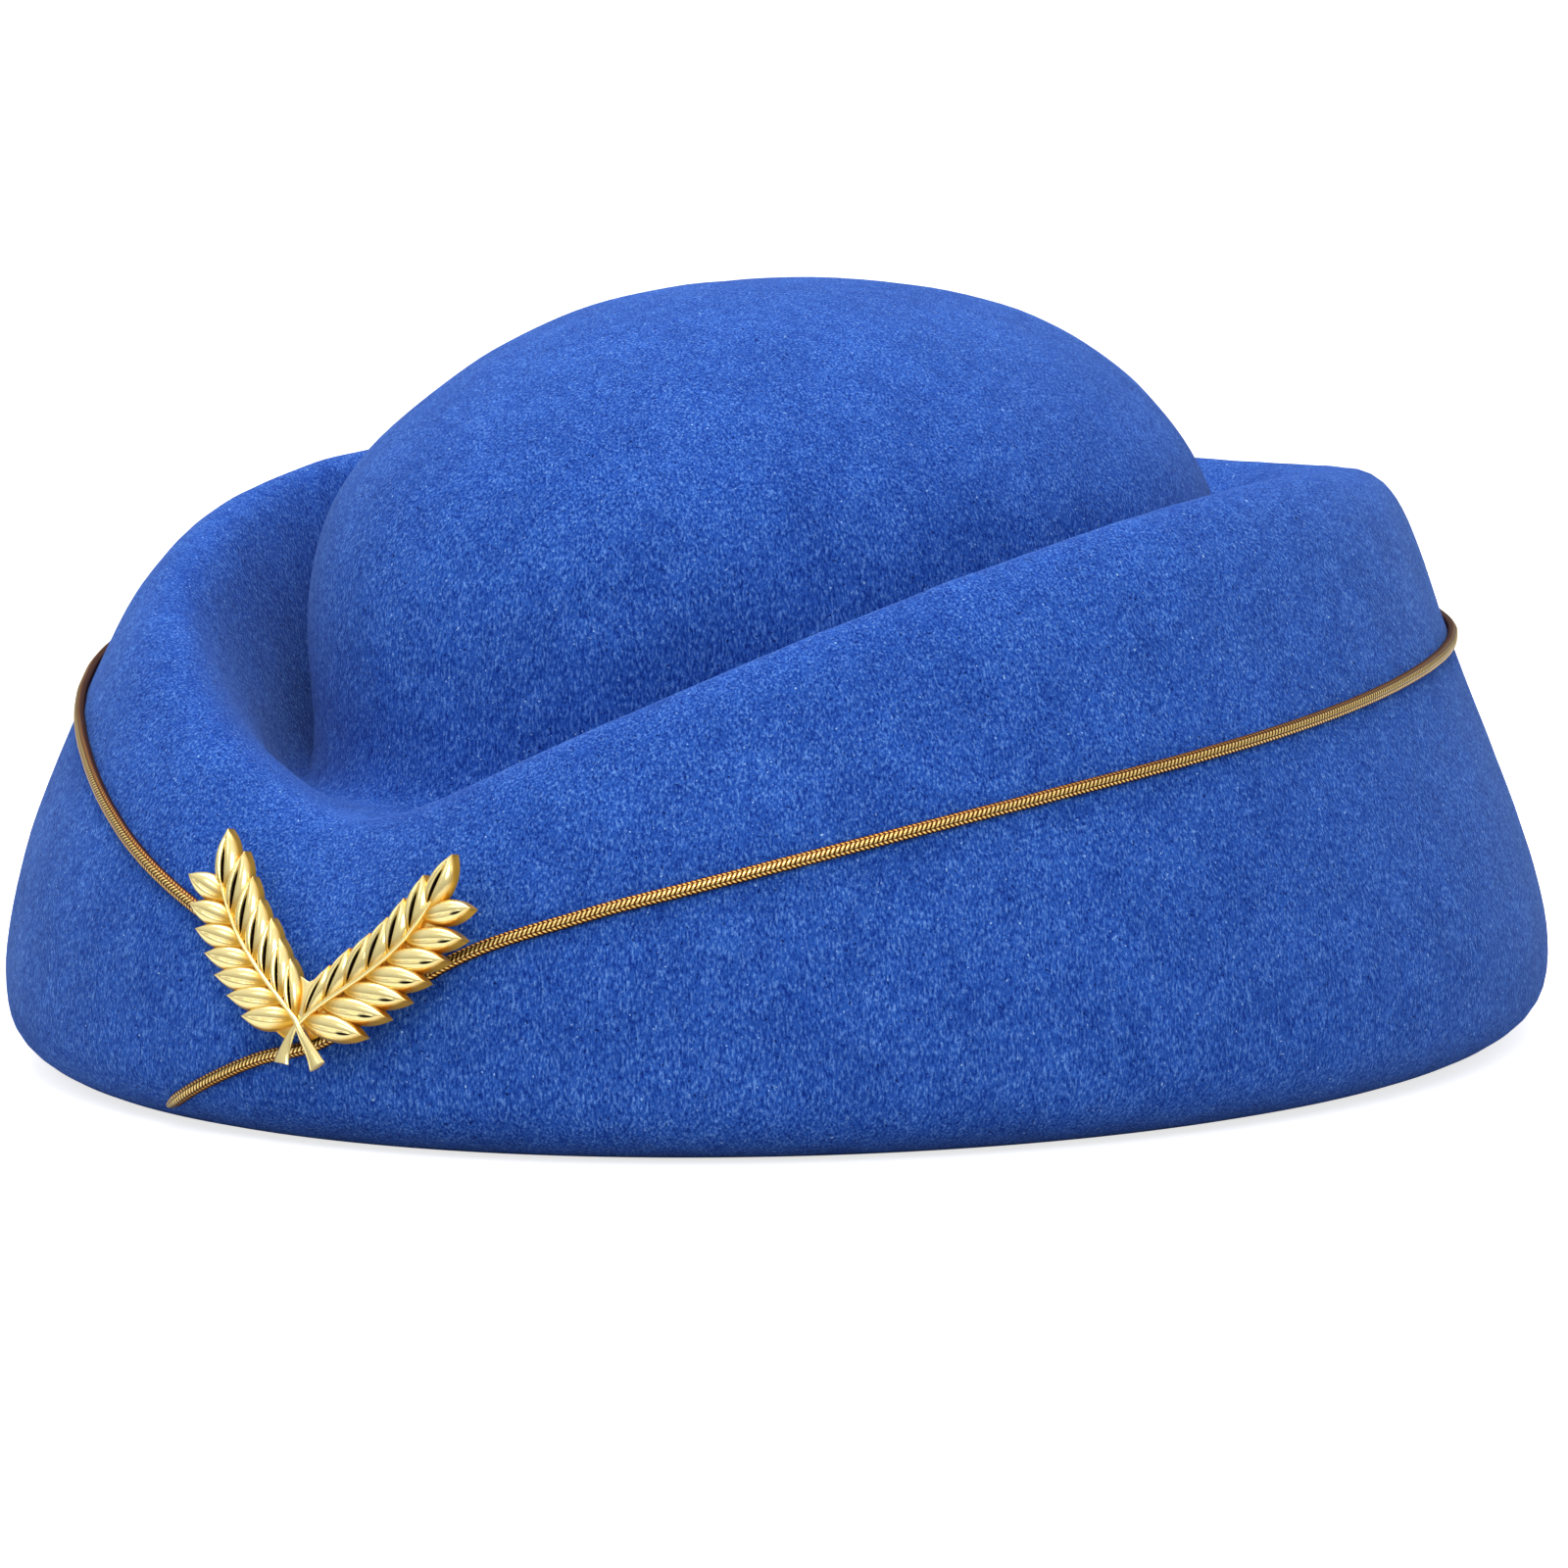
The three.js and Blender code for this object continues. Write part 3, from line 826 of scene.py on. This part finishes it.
@dataclass
class FeltBody:
    """The blocked felt: crown, groove, cuff, flattened underside and raw edge, one wall."""

    form: FeltForm
    finish: WoolFelt
    wall: float = 2.5
    spokes: int = 256
    step: float = 2.3
    wave: float = 0.45
    wave_size: float = 34.0
    dimple: float = 0.16
    dimple_size: float = 9.0
    flat_below: float = 2.0
    flat_fade: float = 12.0
    smooth_below: float = 50.0

    def rows(self) -> list[float]:
        """Lays out the rings, about one step apart at the side.

        Returns:
            Places down the sections from the apex, which is left out, to the raw edge.
        """
        rows = []
        for row in range(-1, self.form.last):
            ends = self.form.point(np.array([row, row + 1.0]), np.full(2, math.pi / 2))
            parts = max(2, round(float(np.linalg.norm(ends[1] - ends[0])) / self.step))
            rows += [row + part / parts for part in range(parts)]
        return rows[1:] + [float(self.form.last)]

    def relief(self, points: np.ndarray) -> np.ndarray:
        """Height of the soft waves that blocking leaves in the felt, none where it rests.

        Args:
            points: places in millimetres.

        Returns:
            The height at each point.
        """
        heights = []
        for point in points:
            at = Vector(point)
            soft = noise.noise(at / self.wave_size) * self.wave + noise.noise(at / self.dimple_size) * self.dimple
            heights.append(soft * min(1.0, max(0.0, (at.z - self.flat_below) / self.flat_fade)))
        return np.array(heights)

    def ring(self, row: float) -> np.ndarray:
        """Corners of a ring, waves included.

        Args:
            row: place down the sections.

        Returns:
            The corners in millimetres.
        """
        turns = even_turns(self.spokes)
        rows = np.full(self.spokes, row)
        points = self.form.point(rows, turns)
        return points + self.form.normal(rows, turns) * self.relief(points)[:, None]

    def build(self) -> Object:
        """Models the felt wall and dresses it.

        Returns:
            The felt.
        """
        rings = [self.ring(row) for row in reversed(self.rows())]
        tip = self.form.point(np.array([-1.0]), np.zeros(1))[0]
        piece = loft("felt_hat_body", rings, tip=tip)
        apply_modifier(
            piece, "SOLIDIFY", thickness=self.wall * MM, offset=-1.0, use_even_offset=True, use_quality_normals=True
        )
        dress(piece, self.finish.material(), self.smooth_below)
        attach(piece, "root")
        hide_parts("felt_body")
        return piece


@dataclass
class BraidedCord:
    """The gold cord: a braid pressed a little flat, whose bands of slanting stitches lean to and fro."""

    body: FeltBody
    finish: GoldBraid
    diameter: float = 2.2
    flat: float = 0.8
    sink: float = 0.1
    bands: int = 6
    corners: int = 24
    # The real stitches lie about 0.54 mm apart. They are drawn coarser so that they still show in a picture.
    pitch: float = 0.74
    samples: int = 4
    depth: float = 0.22
    end_share: float = 0.55
    end_growth: float = 0.025
    route_steps: int = 120
    smooth_below: float = 60.0

    def route(self) -> tuple[np.ndarray, np.ndarray]:
        """Lays the cord on the felt.

        Returns:
            Its centre line and the felt's normal beside it, one sample apart.
        """
        places = catmull(np.array(CORD_ROUTE, float), self.route_steps)
        rows, turns = places[:, 1], np.radians(places[:, 0])
        normals = self.body.form.normal(rows, turns)
        felt = self.body.form.point(rows, turns)
        above = self.body.relief(felt) + self.flat * self.diameter / 2 - self.sink
        line = felt + normals * above[:, None]
        travelled = np.concatenate([[0], np.cumsum(np.linalg.norm(np.diff(line, axis=0), axis=1))])
        count = int(travelled[-1] / (self.pitch / self.samples))
        stops = np.linspace(0, travelled[-1], count + 1)
        line, normals = (
            np.stack([np.interp(stops, travelled, way[:, k]) for k in range(3)], axis=-1) for way in (line, normals)
        )
        return line, unit(normals)

    def unwrap(self, mesh: Mesh, count: int) -> None:
        """Lays the braid's pattern out: stitches along, bands across.

        Args:
            mesh: the braid's mesh, its quads in order from the first ring.
            count: number of rings.
        """
        along = np.repeat(np.arange(count - 1), self.corners)[:, None] + np.array([0, 0, 1, 1])
        round_ = np.tile(np.arange(self.corners), count - 1)[:, None] + np.array([0, 1, 1, 0])
        places = np.stack([along / self.samples, self.bands * round_ / self.corners + 0.5], axis=-1)
        ends = np.zeros((2 * self.corners, 2))
        layer = mesh.uv_layers.new(name=self.finish.uv_map)
        layer.data.foreach_set("uv", np.vstack([places.reshape(-1, 2), ends]).ravel().astype(np.float32))

    def build(self) -> Object:
        """Makes the braid's surface and dresses it.

        Returns:
            The cord.
        """
        line, normals = self.route()
        count = len(line)
        ahead = unit(np.gradient(line, axis=0))
        out = square_to(normals, ahead)
        across = np.cross(ahead, out)
        angles = even_turns(self.corners)
        stitches = (np.arange(count) / self.samples)[:, None]
        band = self.bands * angles / (2 * math.pi) + 0.5
        number = np.floor(band + 1e-9)
        across_band = band - number - 0.5
        hand = np.where(number % 2 == 0, 1.0, -1.0)
        wave = 0.5 + 0.5 * np.cos(2 * math.pi * (stitches + hand * self.finish.lean * across_band))
        rib = np.cos(across_band * math.pi * 0.9) ** 0.7
        crest = rib * (0.35 + 0.65 * wave)
        to_end = np.minimum(np.arange(count), np.arange(count)[::-1])
        taper = np.minimum(1.0, self.end_share + to_end * self.end_growth)[:, None]
        radius = (self.diameter / 2 - self.depth * (1 - crest)) * taper
        ring = np.cos(angles)[:, None] * out[:, None] * self.flat + np.sin(angles)[:, None] * across[:, None]
        points = line[:, None] + radius[..., None] * ring
        first = np.arange(count - 1)[:, None] * self.corners + np.arange(self.corners)
        turn = np.roll(np.arange(self.corners), -1) - np.arange(self.corners)
        quads = np.stack([first, first + turn, first + turn + self.corners, first + self.corners], axis=-1)
        faces = quads.reshape(-1, 4).tolist()
        faces.append(list(range(self.corners))[::-1])
        faces.append(list(range((count - 1) * self.corners, count * self.corners)))
        mesh = bpy.data.meshes.new("gold_braided_cord")
        mesh.from_pydata((points.reshape(-1, 3) * MM).tolist(), [], faces)
        # How far each corner faces away from the felt, which the material turns into painted shade on the sides toward
        # it.
        level = unit(out * (1, 1, 0.5))
        facing = (unit(ring) * level[:, None]).sum(2)
        store(mesh, "facing", facing.ravel())
        self.unwrap(mesh, count)
        mesh.update()
        piece = add_object("gold_braided_cord", mesh)
        dress(piece, self.finish.material(), self.smooth_below)
        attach(piece, "root")
        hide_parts("braided_cord")
        length = float(np.linalg.norm(np.diff(line, axis=0), axis=1).sum())
        log.info("cord length %.0f mm", length)
        return piece


@dataclass
class LaurelBadge:
    """Cast badge of two laurel sprays whose stems cross, with a web plate and two bent prongs."""

    form: FeltForm
    finish: PlatedCasting
    felt: Object
    wall: float = 2.5
    offset: float = 9.5
    length: float = 34.5
    angle: float = 37.0
    inner_width: float = 4.3
    outer_width: float = 3.9
    edge: float = 0.45
    crest: float = 1.45
    tilt: float = 3.2
    stem: float = 0.95
    foot: float = 2.8
    bar_top: float = 1.2
    prong: float = 1.2
    prong_bend: float = 4.0
    prong_at: float = 0.45
    prong_corners: int = 10
    # Values for the prongs and the web of how pale their painted highlight is and how polished they are.
    prong_shine: float = 0.6
    web_shine: float = 0.75
    web_bottom: float = 0.05
    web_top: float = 0.9
    gap: float = 0.3
    cord: float = 2.2
    cord_steps: int = 80
    crossing_row: float = 13.92
    tips_row: float = 11.92
    smooth_below: float = 42.0

    def __post_init__(self) -> None:
        """Lays the badge's frame parallel to the wall, clear of the cord."""
        quarter = np.array([math.pi / 2])

        def wall_point(row: float) -> np.ndarray:
            rows = np.array([row])
            turn = math.asin(self.offset / self.form.point(rows, quarter)[0, 0])
            return self.form.point(rows, np.array([turn]))[0]

        foot, head = wall_point(self.crossing_row), wall_point(self.tips_row)
        up = unit((head - foot) * (0, 1, 1))
        right = np.array([1.0, 0.0, 0.0])
        out = unit(np.cross(right, up))
        rows = np.arange(self.tips_row, self.crossing_row, 0.1)
        bulge = max(0.0, max(float(np.dot(wall_point(row) - foot, out)) for row in rows))
        step = math.pi * (self.form.length + self.form.width) / 2 / self.cord_steps
        sag = step**2 / (4 * min(self.form.length, self.form.width))
        stand_off = bulge + self.cord / 2 + self.gap + sag + self.cord / 2 + self.gap
        self.axes = np.stack([right, up, out])
        self.origin = foot + out * stand_off

    def spray_place(self, along: float, out: float, hand: Hand) -> np.ndarray:
        """Place in the badge's plane.

        Args:
            along: share of the spray's length from the crossing.
            out: share of it to the outer side of the V.
            hand: the spray.

        Returns:
            The place in millimetres, to the right and up.
        """
        angle = math.radians(self.angle)
        across = along * math.sin(angle) + out * math.cos(angle)
        up = along * math.cos(angle) - out * math.sin(angle)
        return np.array([hand * across, up]) * self.length

    def stem_place(self, along: float, hand: Hand) -> np.ndarray:
        """Place on a spray's stem."""
        line = np.array(STEM_LINES[hand])
        return self.spray_place(along, float(np.interp(along, line[:, 0], line[:, 1])), hand)

    def leaf(self, name: str, crease_at: float, crease: float, painted_tip: float = 0.0) -> Object:
        """Models a leaf one long and one wide, pointing along +X, from a grid.

        Args:
            name: the leaf's name.
            crease_at: place of its crease across, from -1 to 1.
            crease: depth of the crease as a share of the leaf's height, which also sets the strength of its painted
                shade.
            painted_tip: darkness of a painted dark reflection beside the tip, from 0 to 1.

        Returns:
            The leaf, with upright walls below it, in units of its length, width and height.
        """
        piece = primitive(name, bpy.ops.mesh.primitive_grid_add, x_subdivisions=26, y_subdivisions=30, size=1.0)
        mesh = open_mesh(piece)
        creases = mesh.verts.layers.float.new("crease")
        heights = mesh.verts.layers.float.new("height")
        for vertex in mesh.verts:
            # u runs from the stem to the tip, v from one edge (-1) to the other (1).
            u, v = vertex.co.x + 0.5, vertex.co.y * 2
            half = 1 - 0.5 * (1 - u / 0.45) ** 2 if u < 0.45 else 1 - ((u - 0.45) / 0.55) ** 2.2
            ends = math.sin(math.pi * (0.1 + 0.86 * u)) ** 0.5
            pillow = max(0.0, 1 - abs(v) ** 2.4) ** 0.6 * ends
            window = math.sin(math.pi * min(1.0, max(0.0, (u - 0.06) / 0.8))) ** 0.5
            centre = crease_at * (1 - 0.6 * u)
            side = (v - centre) / (1 - centre if v > centre else 1 + centre)
            lobes = math.sin(math.pi * min(1.0, abs(side)) ** 0.75) ** 0.55 * ends
            deep = window * crease
            height = pillow * (1 - deep) + lobes * deep
            vertex.co = (u, v * max(0.02, half) / 2, height)
            # Painted shade and dark reflection along the crease, and a painted dark reflection beside the tip.
            dark = math.sin(math.pi * min(1.0, max(0.0, (u - 0.03) / 0.72))) ** 0.6
            wide = 0.09 if side < 0 else 0.17
            tip_reflection = math.exp(-(((v - 0.42) / 0.17) ** 2) - ((u - 0.74) / 0.13) ** 2) * painted_tip
            vertex[creases] = max(math.exp(-((side / wide) ** 2)) * dark * crease, tip_reflection)
            # Paler as a painted highlight where the leaf stands high and far from the stem, deeper gold as painted
            # shade low down and near the stem.
            vertex[heights] = (0.25 + 0.75 * height) * (0.35 + 0.65 * min(1.0, u / 0.5))
        bpy.ops.mesh.select_all(action="SELECT")
        bpy.ops.mesh.region_to_loop()
        bpy.ops.mesh.extrude_edges_move()
        mesh = bmesh.from_edit_mesh(piece.data)
        # The walls get the lowest value, painted shade in deeper gold.
        for vertex in mesh.verts:
            if vertex.select:
                vertex.co.z = -4.0
                vertex[mesh.verts.layers.float["height"]] = 0.0
        bpy.ops.mesh.edge_face_add()
        bpy.ops.mesh.select_all(action="SELECT")
        bpy.ops.mesh.remove_doubles(threshold=1e-5)
        close_mesh()
        return piece

    def spray(self, hand: Hand, patterns: dict[Side, Object]) -> Object:
        """Lays copies of the pattern leaves along a stem and joins them.

        Args:
            hand: the spray.
            patterns: the pattern leaf of each side.

        Returns:
            The spray in the badge's plane, in millimetres.
        """
        parts = []
        for number, leaf in enumerate(LEAVES):
            root = self.stem_place(leaf.root, hand)
            tip = self.spray_place(*(leaf.left if hand is Hand.LEFT else leaf.right), hand)
            reach = tip - root
            mirrored = leaf.side is Side.OUTER and hand is Hand.RIGHT
            width = (self.outer_width if leaf.side is Side.OUTER else self.inner_width) * leaf.broad
            length = float(np.linalg.norm(reach))
            turned = Matrix.Rotation(math.atan2(reach[1], reach[0]), 4, "Z")
            raised = Matrix.Rotation(-math.radians(self.tilt), 4, "Y")
            sized = Matrix.Diagonal((length, -width if mirrored else width, self.crest, 1.0))
            placed = Matrix.Translation((root[0], root[1], self.edge))
            copy = patterns[leaf.side].copy()
            copy.data = copy.data.copy()
            copy.data.transform(placed @ turned @ raised @ sized)
            if mirrored:
                copy.data.flip_normals()
            for vertex in copy.data.vertices:
                vertex.co.z = max(0.0, vertex.co.z)
            copy.name = f"leaf_{number}"
            bpy.context.collection.objects.link(copy)
            parts.append(copy)
        parts += [self.stem_bar(hand), self.spray_plate(hand)]
        choose(parts[0])
        for part in parts:
            part.select_set(True)
        bpy.ops.object.join()
        piece = bpy.context.active_object
        piece.name = piece.data.name = f"laurel_spray_{hand.name.lower()}"
        return piece

    def bar(
        self, name: str, line: np.ndarray, halves: np.ndarray, rises: np.ndarray, middles: np.ndarray, corners: int = 12
    ) -> Object:
        """Models a flattened bar that follows a line in the badge's plane, in units of millimetres.

        Args:
            name: the bar's name.
            line: its centre line in the plane.
            halves: half its width at each point.
            rises: half its thickness at each point.
            middles: height of its middle at each point.
            corners: corners of its section.

        Returns:
            The bar.
        """
        ahead = unit(np.gradient(line, axis=0))
        across = np.stack([ahead[:, 1], -ahead[:, 0]], axis=-1)
        angles = even_turns(corners)
        rings = []
        for at, side, half, rise, middle in zip(line, across, halves, rises, middles):
            flat = at + np.cos(angles)[:, None] * half * side
            up = middle + np.sin(angles) * rise
            rings.append(np.column_stack([flat, up]) / MM)
        piece = loft(name, rings, closed=True)
        rise = np.array([vertex.co.z for vertex in piece.data.vertices])
        # Paler as a painted highlight high on the bar, deeper gold as painted shade low down.
        store(piece.data, "height", np.clip(rise / self.bar_top, 0, 1))
        return piece

    def stem_bar(self, hand: Hand) -> Object:
        """Models a spray's stem with its flared foot.

        Args:
            hand: the spray. The left one's stem lies over the other.

        Returns:
            The stem in the badge's plane.
        """
        line = catmull(np.array([self.spray_place(a, o, hand) for a, o in STEM_LINES[hand]]), 5)
        share = np.linspace(0, 1, len(line))
        foot = np.clip(1 - share / 0.3, 0, 1) ** 1.2
        halves = self.stem / 2 * (1 - 0.4 * share) + (self.foot - self.stem) / 2 * foot
        over = 0.4 * np.exp(-(((share - 0.24) / 0.1) ** 2)) * (hand is Hand.LEFT)
        middles = 1.2 + 0.25 * share - 0.35 * foot + over
        return self.bar("stem", line, halves, 0.42 + 0.1 * foot, middles)

    def spray_plate(self, hand: Hand) -> Object:
        """Models the thin plate under a spray's leaves.

        Args:
            hand: the spray.

        Returns:
            The plate in the badge's plane.
        """
        line = catmull(np.array([self.spray_place(a, o + 0.03, hand) for a, o in STEM_LINES[hand][3:]]), 4)
        share = np.linspace(0, 1, len(line))
        halves = 1.0 + 2.3 * np.sin(math.pi * (0.12 + 0.8 * share)) ** 0.7
        return self.bar("plate", line, halves, np.full_like(share, 0.32), np.full_like(share, 0.33), corners=16)

    def web(self) -> Object:
        """Models the flat plate in the crotch of the two stems.

        Returns:
            The plate in the badge's plane.
        """
        outline = np.array(WEB_OUTLINE) * self.length
        levels = (self.web_bottom, self.web_top)
        rings = [np.column_stack([outline, np.full(len(outline), level)]) / MM for level in levels]
        piece = loft("laurel_web", rings, closed=True)
        apply_modifier(piece, "BEVEL", width=0.12, segments=2)
        store(piece.data, "height", np.full(len(piece.data.vertices), self.web_shine))
        return piece

    def prong_bar(self, hand: Hand) -> Object:
        """Models a prong that passes through the felt and is bent over against its inner face.

        Args:
            hand: the spray that it holds.

        Returns:
            The prong in its place on the hat.
        """
        right, up, out = self.axes
        at = self.stem_place(self.prong_at, hand)
        root = self.origin + right * at[0] + up * at[1]
        met, outer, normal, _ = self.felt.ray_cast(Vector(root * MM), Vector(-out))
        if not met:
            raise ValueError("the prong's line misses the felt")
        outer, normal = np.array(outer) / MM, np.array(normal)
        through = self.wall / float(normal @ out)
        inner = outer - out * through
        elbow = inner - out * (self.prong / 2 + 2 * self.gap)
        along = unit(up - normal * float(up @ normal))
        end = elbow + along * self.prong_bend - normal * self.gap
        line = catmull(np.array([root + out * 0.3, outer, inner, elbow, end]), 5)
        ahead = unit(np.gradient(line, axis=0))
        side = square_to(np.broadcast_to(right, ahead.shape), ahead)
        other = np.cross(ahead, side)
        angles = even_turns(self.prong_corners)
        rings = [
            at_ + self.prong / 2 * (np.cos(angles)[:, None] * s + np.sin(angles)[:, None] * o)
            for at_, s, o in zip(line, side, other)
        ]
        piece = loft(f"badge_prong_{hand.name.lower()}", rings, closed=True)
        store(piece.data, "height", np.full(len(piece.data.vertices), self.prong_shine))
        return piece

    def build(self) -> list[Object]:
        """Models all the badge's pieces, places them on the hat and dresses them.

        Returns:
            The two sprays, the web plate and the two prongs.
        """
        patterns = {
            Side.INNER: self.leaf("leaf_inner", 0.22, 1.0),
            Side.OUTER: self.leaf("leaf_outer", 0.4, 0.22),
        }
        patterns[Side.END] = patterns[Side.INNER]
        # The right spray's outer leaves get a painted dark reflection beside the tip.
        painted_tip = {**patterns, Side.OUTER: self.leaf("leaf_outer_painted_tip", 0.4, 0.22, 0.8)}
        sprays = [self.spray(Hand.LEFT, patterns), self.spray(Hand.RIGHT, painted_tip)]
        flat = [*sprays, self.web()]
        for pattern in (patterns[Side.INNER], patterns[Side.OUTER], painted_tip[Side.OUTER]):
            bpy.data.objects.remove(pattern)
        basis = Matrix([*(np.column_stack([self.axes.T, self.origin]) * MM), (0.0, 0.0, 0.0, 1.0)])
        for piece in flat:
            piece.data.transform(basis)
        pieces = flat + [self.prong_bar(hand) for hand in Hand]
        material = self.finish.material()
        for piece in pieces:
            dress(piece, material, self.smooth_below)
            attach(piece, "root")
            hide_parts("laurel_badge")
        return pieces


@dataclass
class Studio:
    """Pale floor, soft lights and the camera at the photo's angle."""

    shift: float
    azimuth: float = 35.0
    elevation: float = 6.88
    distance: float = 1109.8
    aim_height: float = 40.83
    aim_right: float = 0.59
    mm_per_pixel: float = 0.158
    image_width: int = 1600
    sensor: float = 36.0
    floor: float = 80.0
    low_sky: str = "#74716c"
    high_sky: str = "#f4f6fa"

    def camera_axes(self) -> tuple[Vector, Vector, Vector]:
        """Turns the camera to the photo's angle.

        Returns:
            Directions to the camera's right, up and back.
        """
        turn, rise = math.radians(self.azimuth), math.radians(self.elevation)
        back = Vector((math.sin(turn) * math.cos(rise), -math.cos(turn) * math.cos(rise), math.sin(rise)))
        right = Vector((math.cos(turn), math.sin(turn), 0))
        return right, back.cross(right), back

    def camera(self) -> None:
        """Makes the camera."""
        right, up, back = self.camera_axes()
        aim = Vector((0, self.shift, self.aim_height)) + right * self.aim_right
        data = bpy.data.cameras.new("photo_camera")
        data.sensor_width = self.sensor
        data.lens = self.sensor * self.distance / (self.image_width * self.mm_per_pixel)
        made = add_object("photo_camera", data)
        turned = Matrix((right, up, back)).transposed().to_4x4()
        made.matrix_world = Matrix.Translation((aim + back * self.distance) * MM) @ turned
        bpy.context.scene.camera = made

    def area_light(self, name: str, place: Vector, size: float, watts: float) -> None:
        """Makes a square soft light that faces the hat.

        Args:
            name: the light's name.
            place: its place in metres.
            size: its side in metres.
            watts: its power.
        """
        data = bpy.data.lights.new(name, "AREA")
        data.energy, data.size = watts, size
        made = add_object(name, data)
        made.location = place
        made.rotation_euler = (Vector((0, 0, 0.05)) - place).to_track_quat("-Z", "Y").to_euler()

    def surroundings(self) -> None:
        """Makes the world: white to the camera, a tall soft gradient to the hat."""
        world = bpy.data.worlds.new("studio_world")
        bpy.context.scene.world = world
        world.use_nodes = True
        tree = world.node_tree
        tree.nodes.clear()
        way = add_node(tree, "TexCoord").outputs["Generated"]
        height = add_node(tree, "SeparateXYZ", {0: way}).outputs["Z"]
        tall = ramp(tree, height, -0.35, 0.95)
        soft = blend(tree, tall, self.low_sky, self.high_sky)
        ray = add_node(tree, "LightPath").outputs["Is Camera Ray"]
        seen = blend(tree, ray, soft, "#ffffff")
        glow = add_node(tree, "Background", {"Color": seen, "Strength": 1.0})
        add_node(tree, "OutputWorld", {"Surface": glow.outputs[0]})

    def build(self) -> None:
        """Makes the floor, the lights, the world and the camera."""
        self.camera()
        floor = primitive("studio_floor", bpy.ops.mesh.primitive_plane_add, size=self.floor)
        floor.data.materials.append(MattePaper().material())
        right, _, back = self.camera_axes()
        self.area_light("top_light", Vector((0, 0, 1.5)) - right * 0.15 - back * 0.35, 1.2, 22.0)
        self.area_light("front_light", Vector((-0.5, -1.0, 1.0)), 0.48, 1.4)
        self.area_light("camera_light", Vector((0.75, -0.9, 0.8)), 0.5, 6.0)
        self.area_light("right_light", Vector((1.25, -0.2, 0.8)), 0.3, 0.6)
        self.surroundings()
        bpy.context.scene.view_settings.view_transform = "Standard"


def main() -> None:
    """Builds the hat piece by piece and then the studio."""
    logging.basicConfig(level=logging.INFO, format="%(message)s")
    form = FeltForm()
    log.info("form laid out, shift %.3f mm", form.shift)
    body = FeltBody(form, WoolFelt())
    felt = body.build()
    log.info("felt body: %d faces", len(felt.data.polygons))
    cord = BraidedCord(body, GoldBraid()).build()
    log.info("cord: %d faces", len(cord.data.polygons))
    for piece in LaurelBadge(form, PlatedCasting(), felt).build():
        log.info("badge piece %s: %d faces", piece.name, len(piece.data.polygons))
    Studio(form.shift).build()


if __name__ == "__main__":
    main()
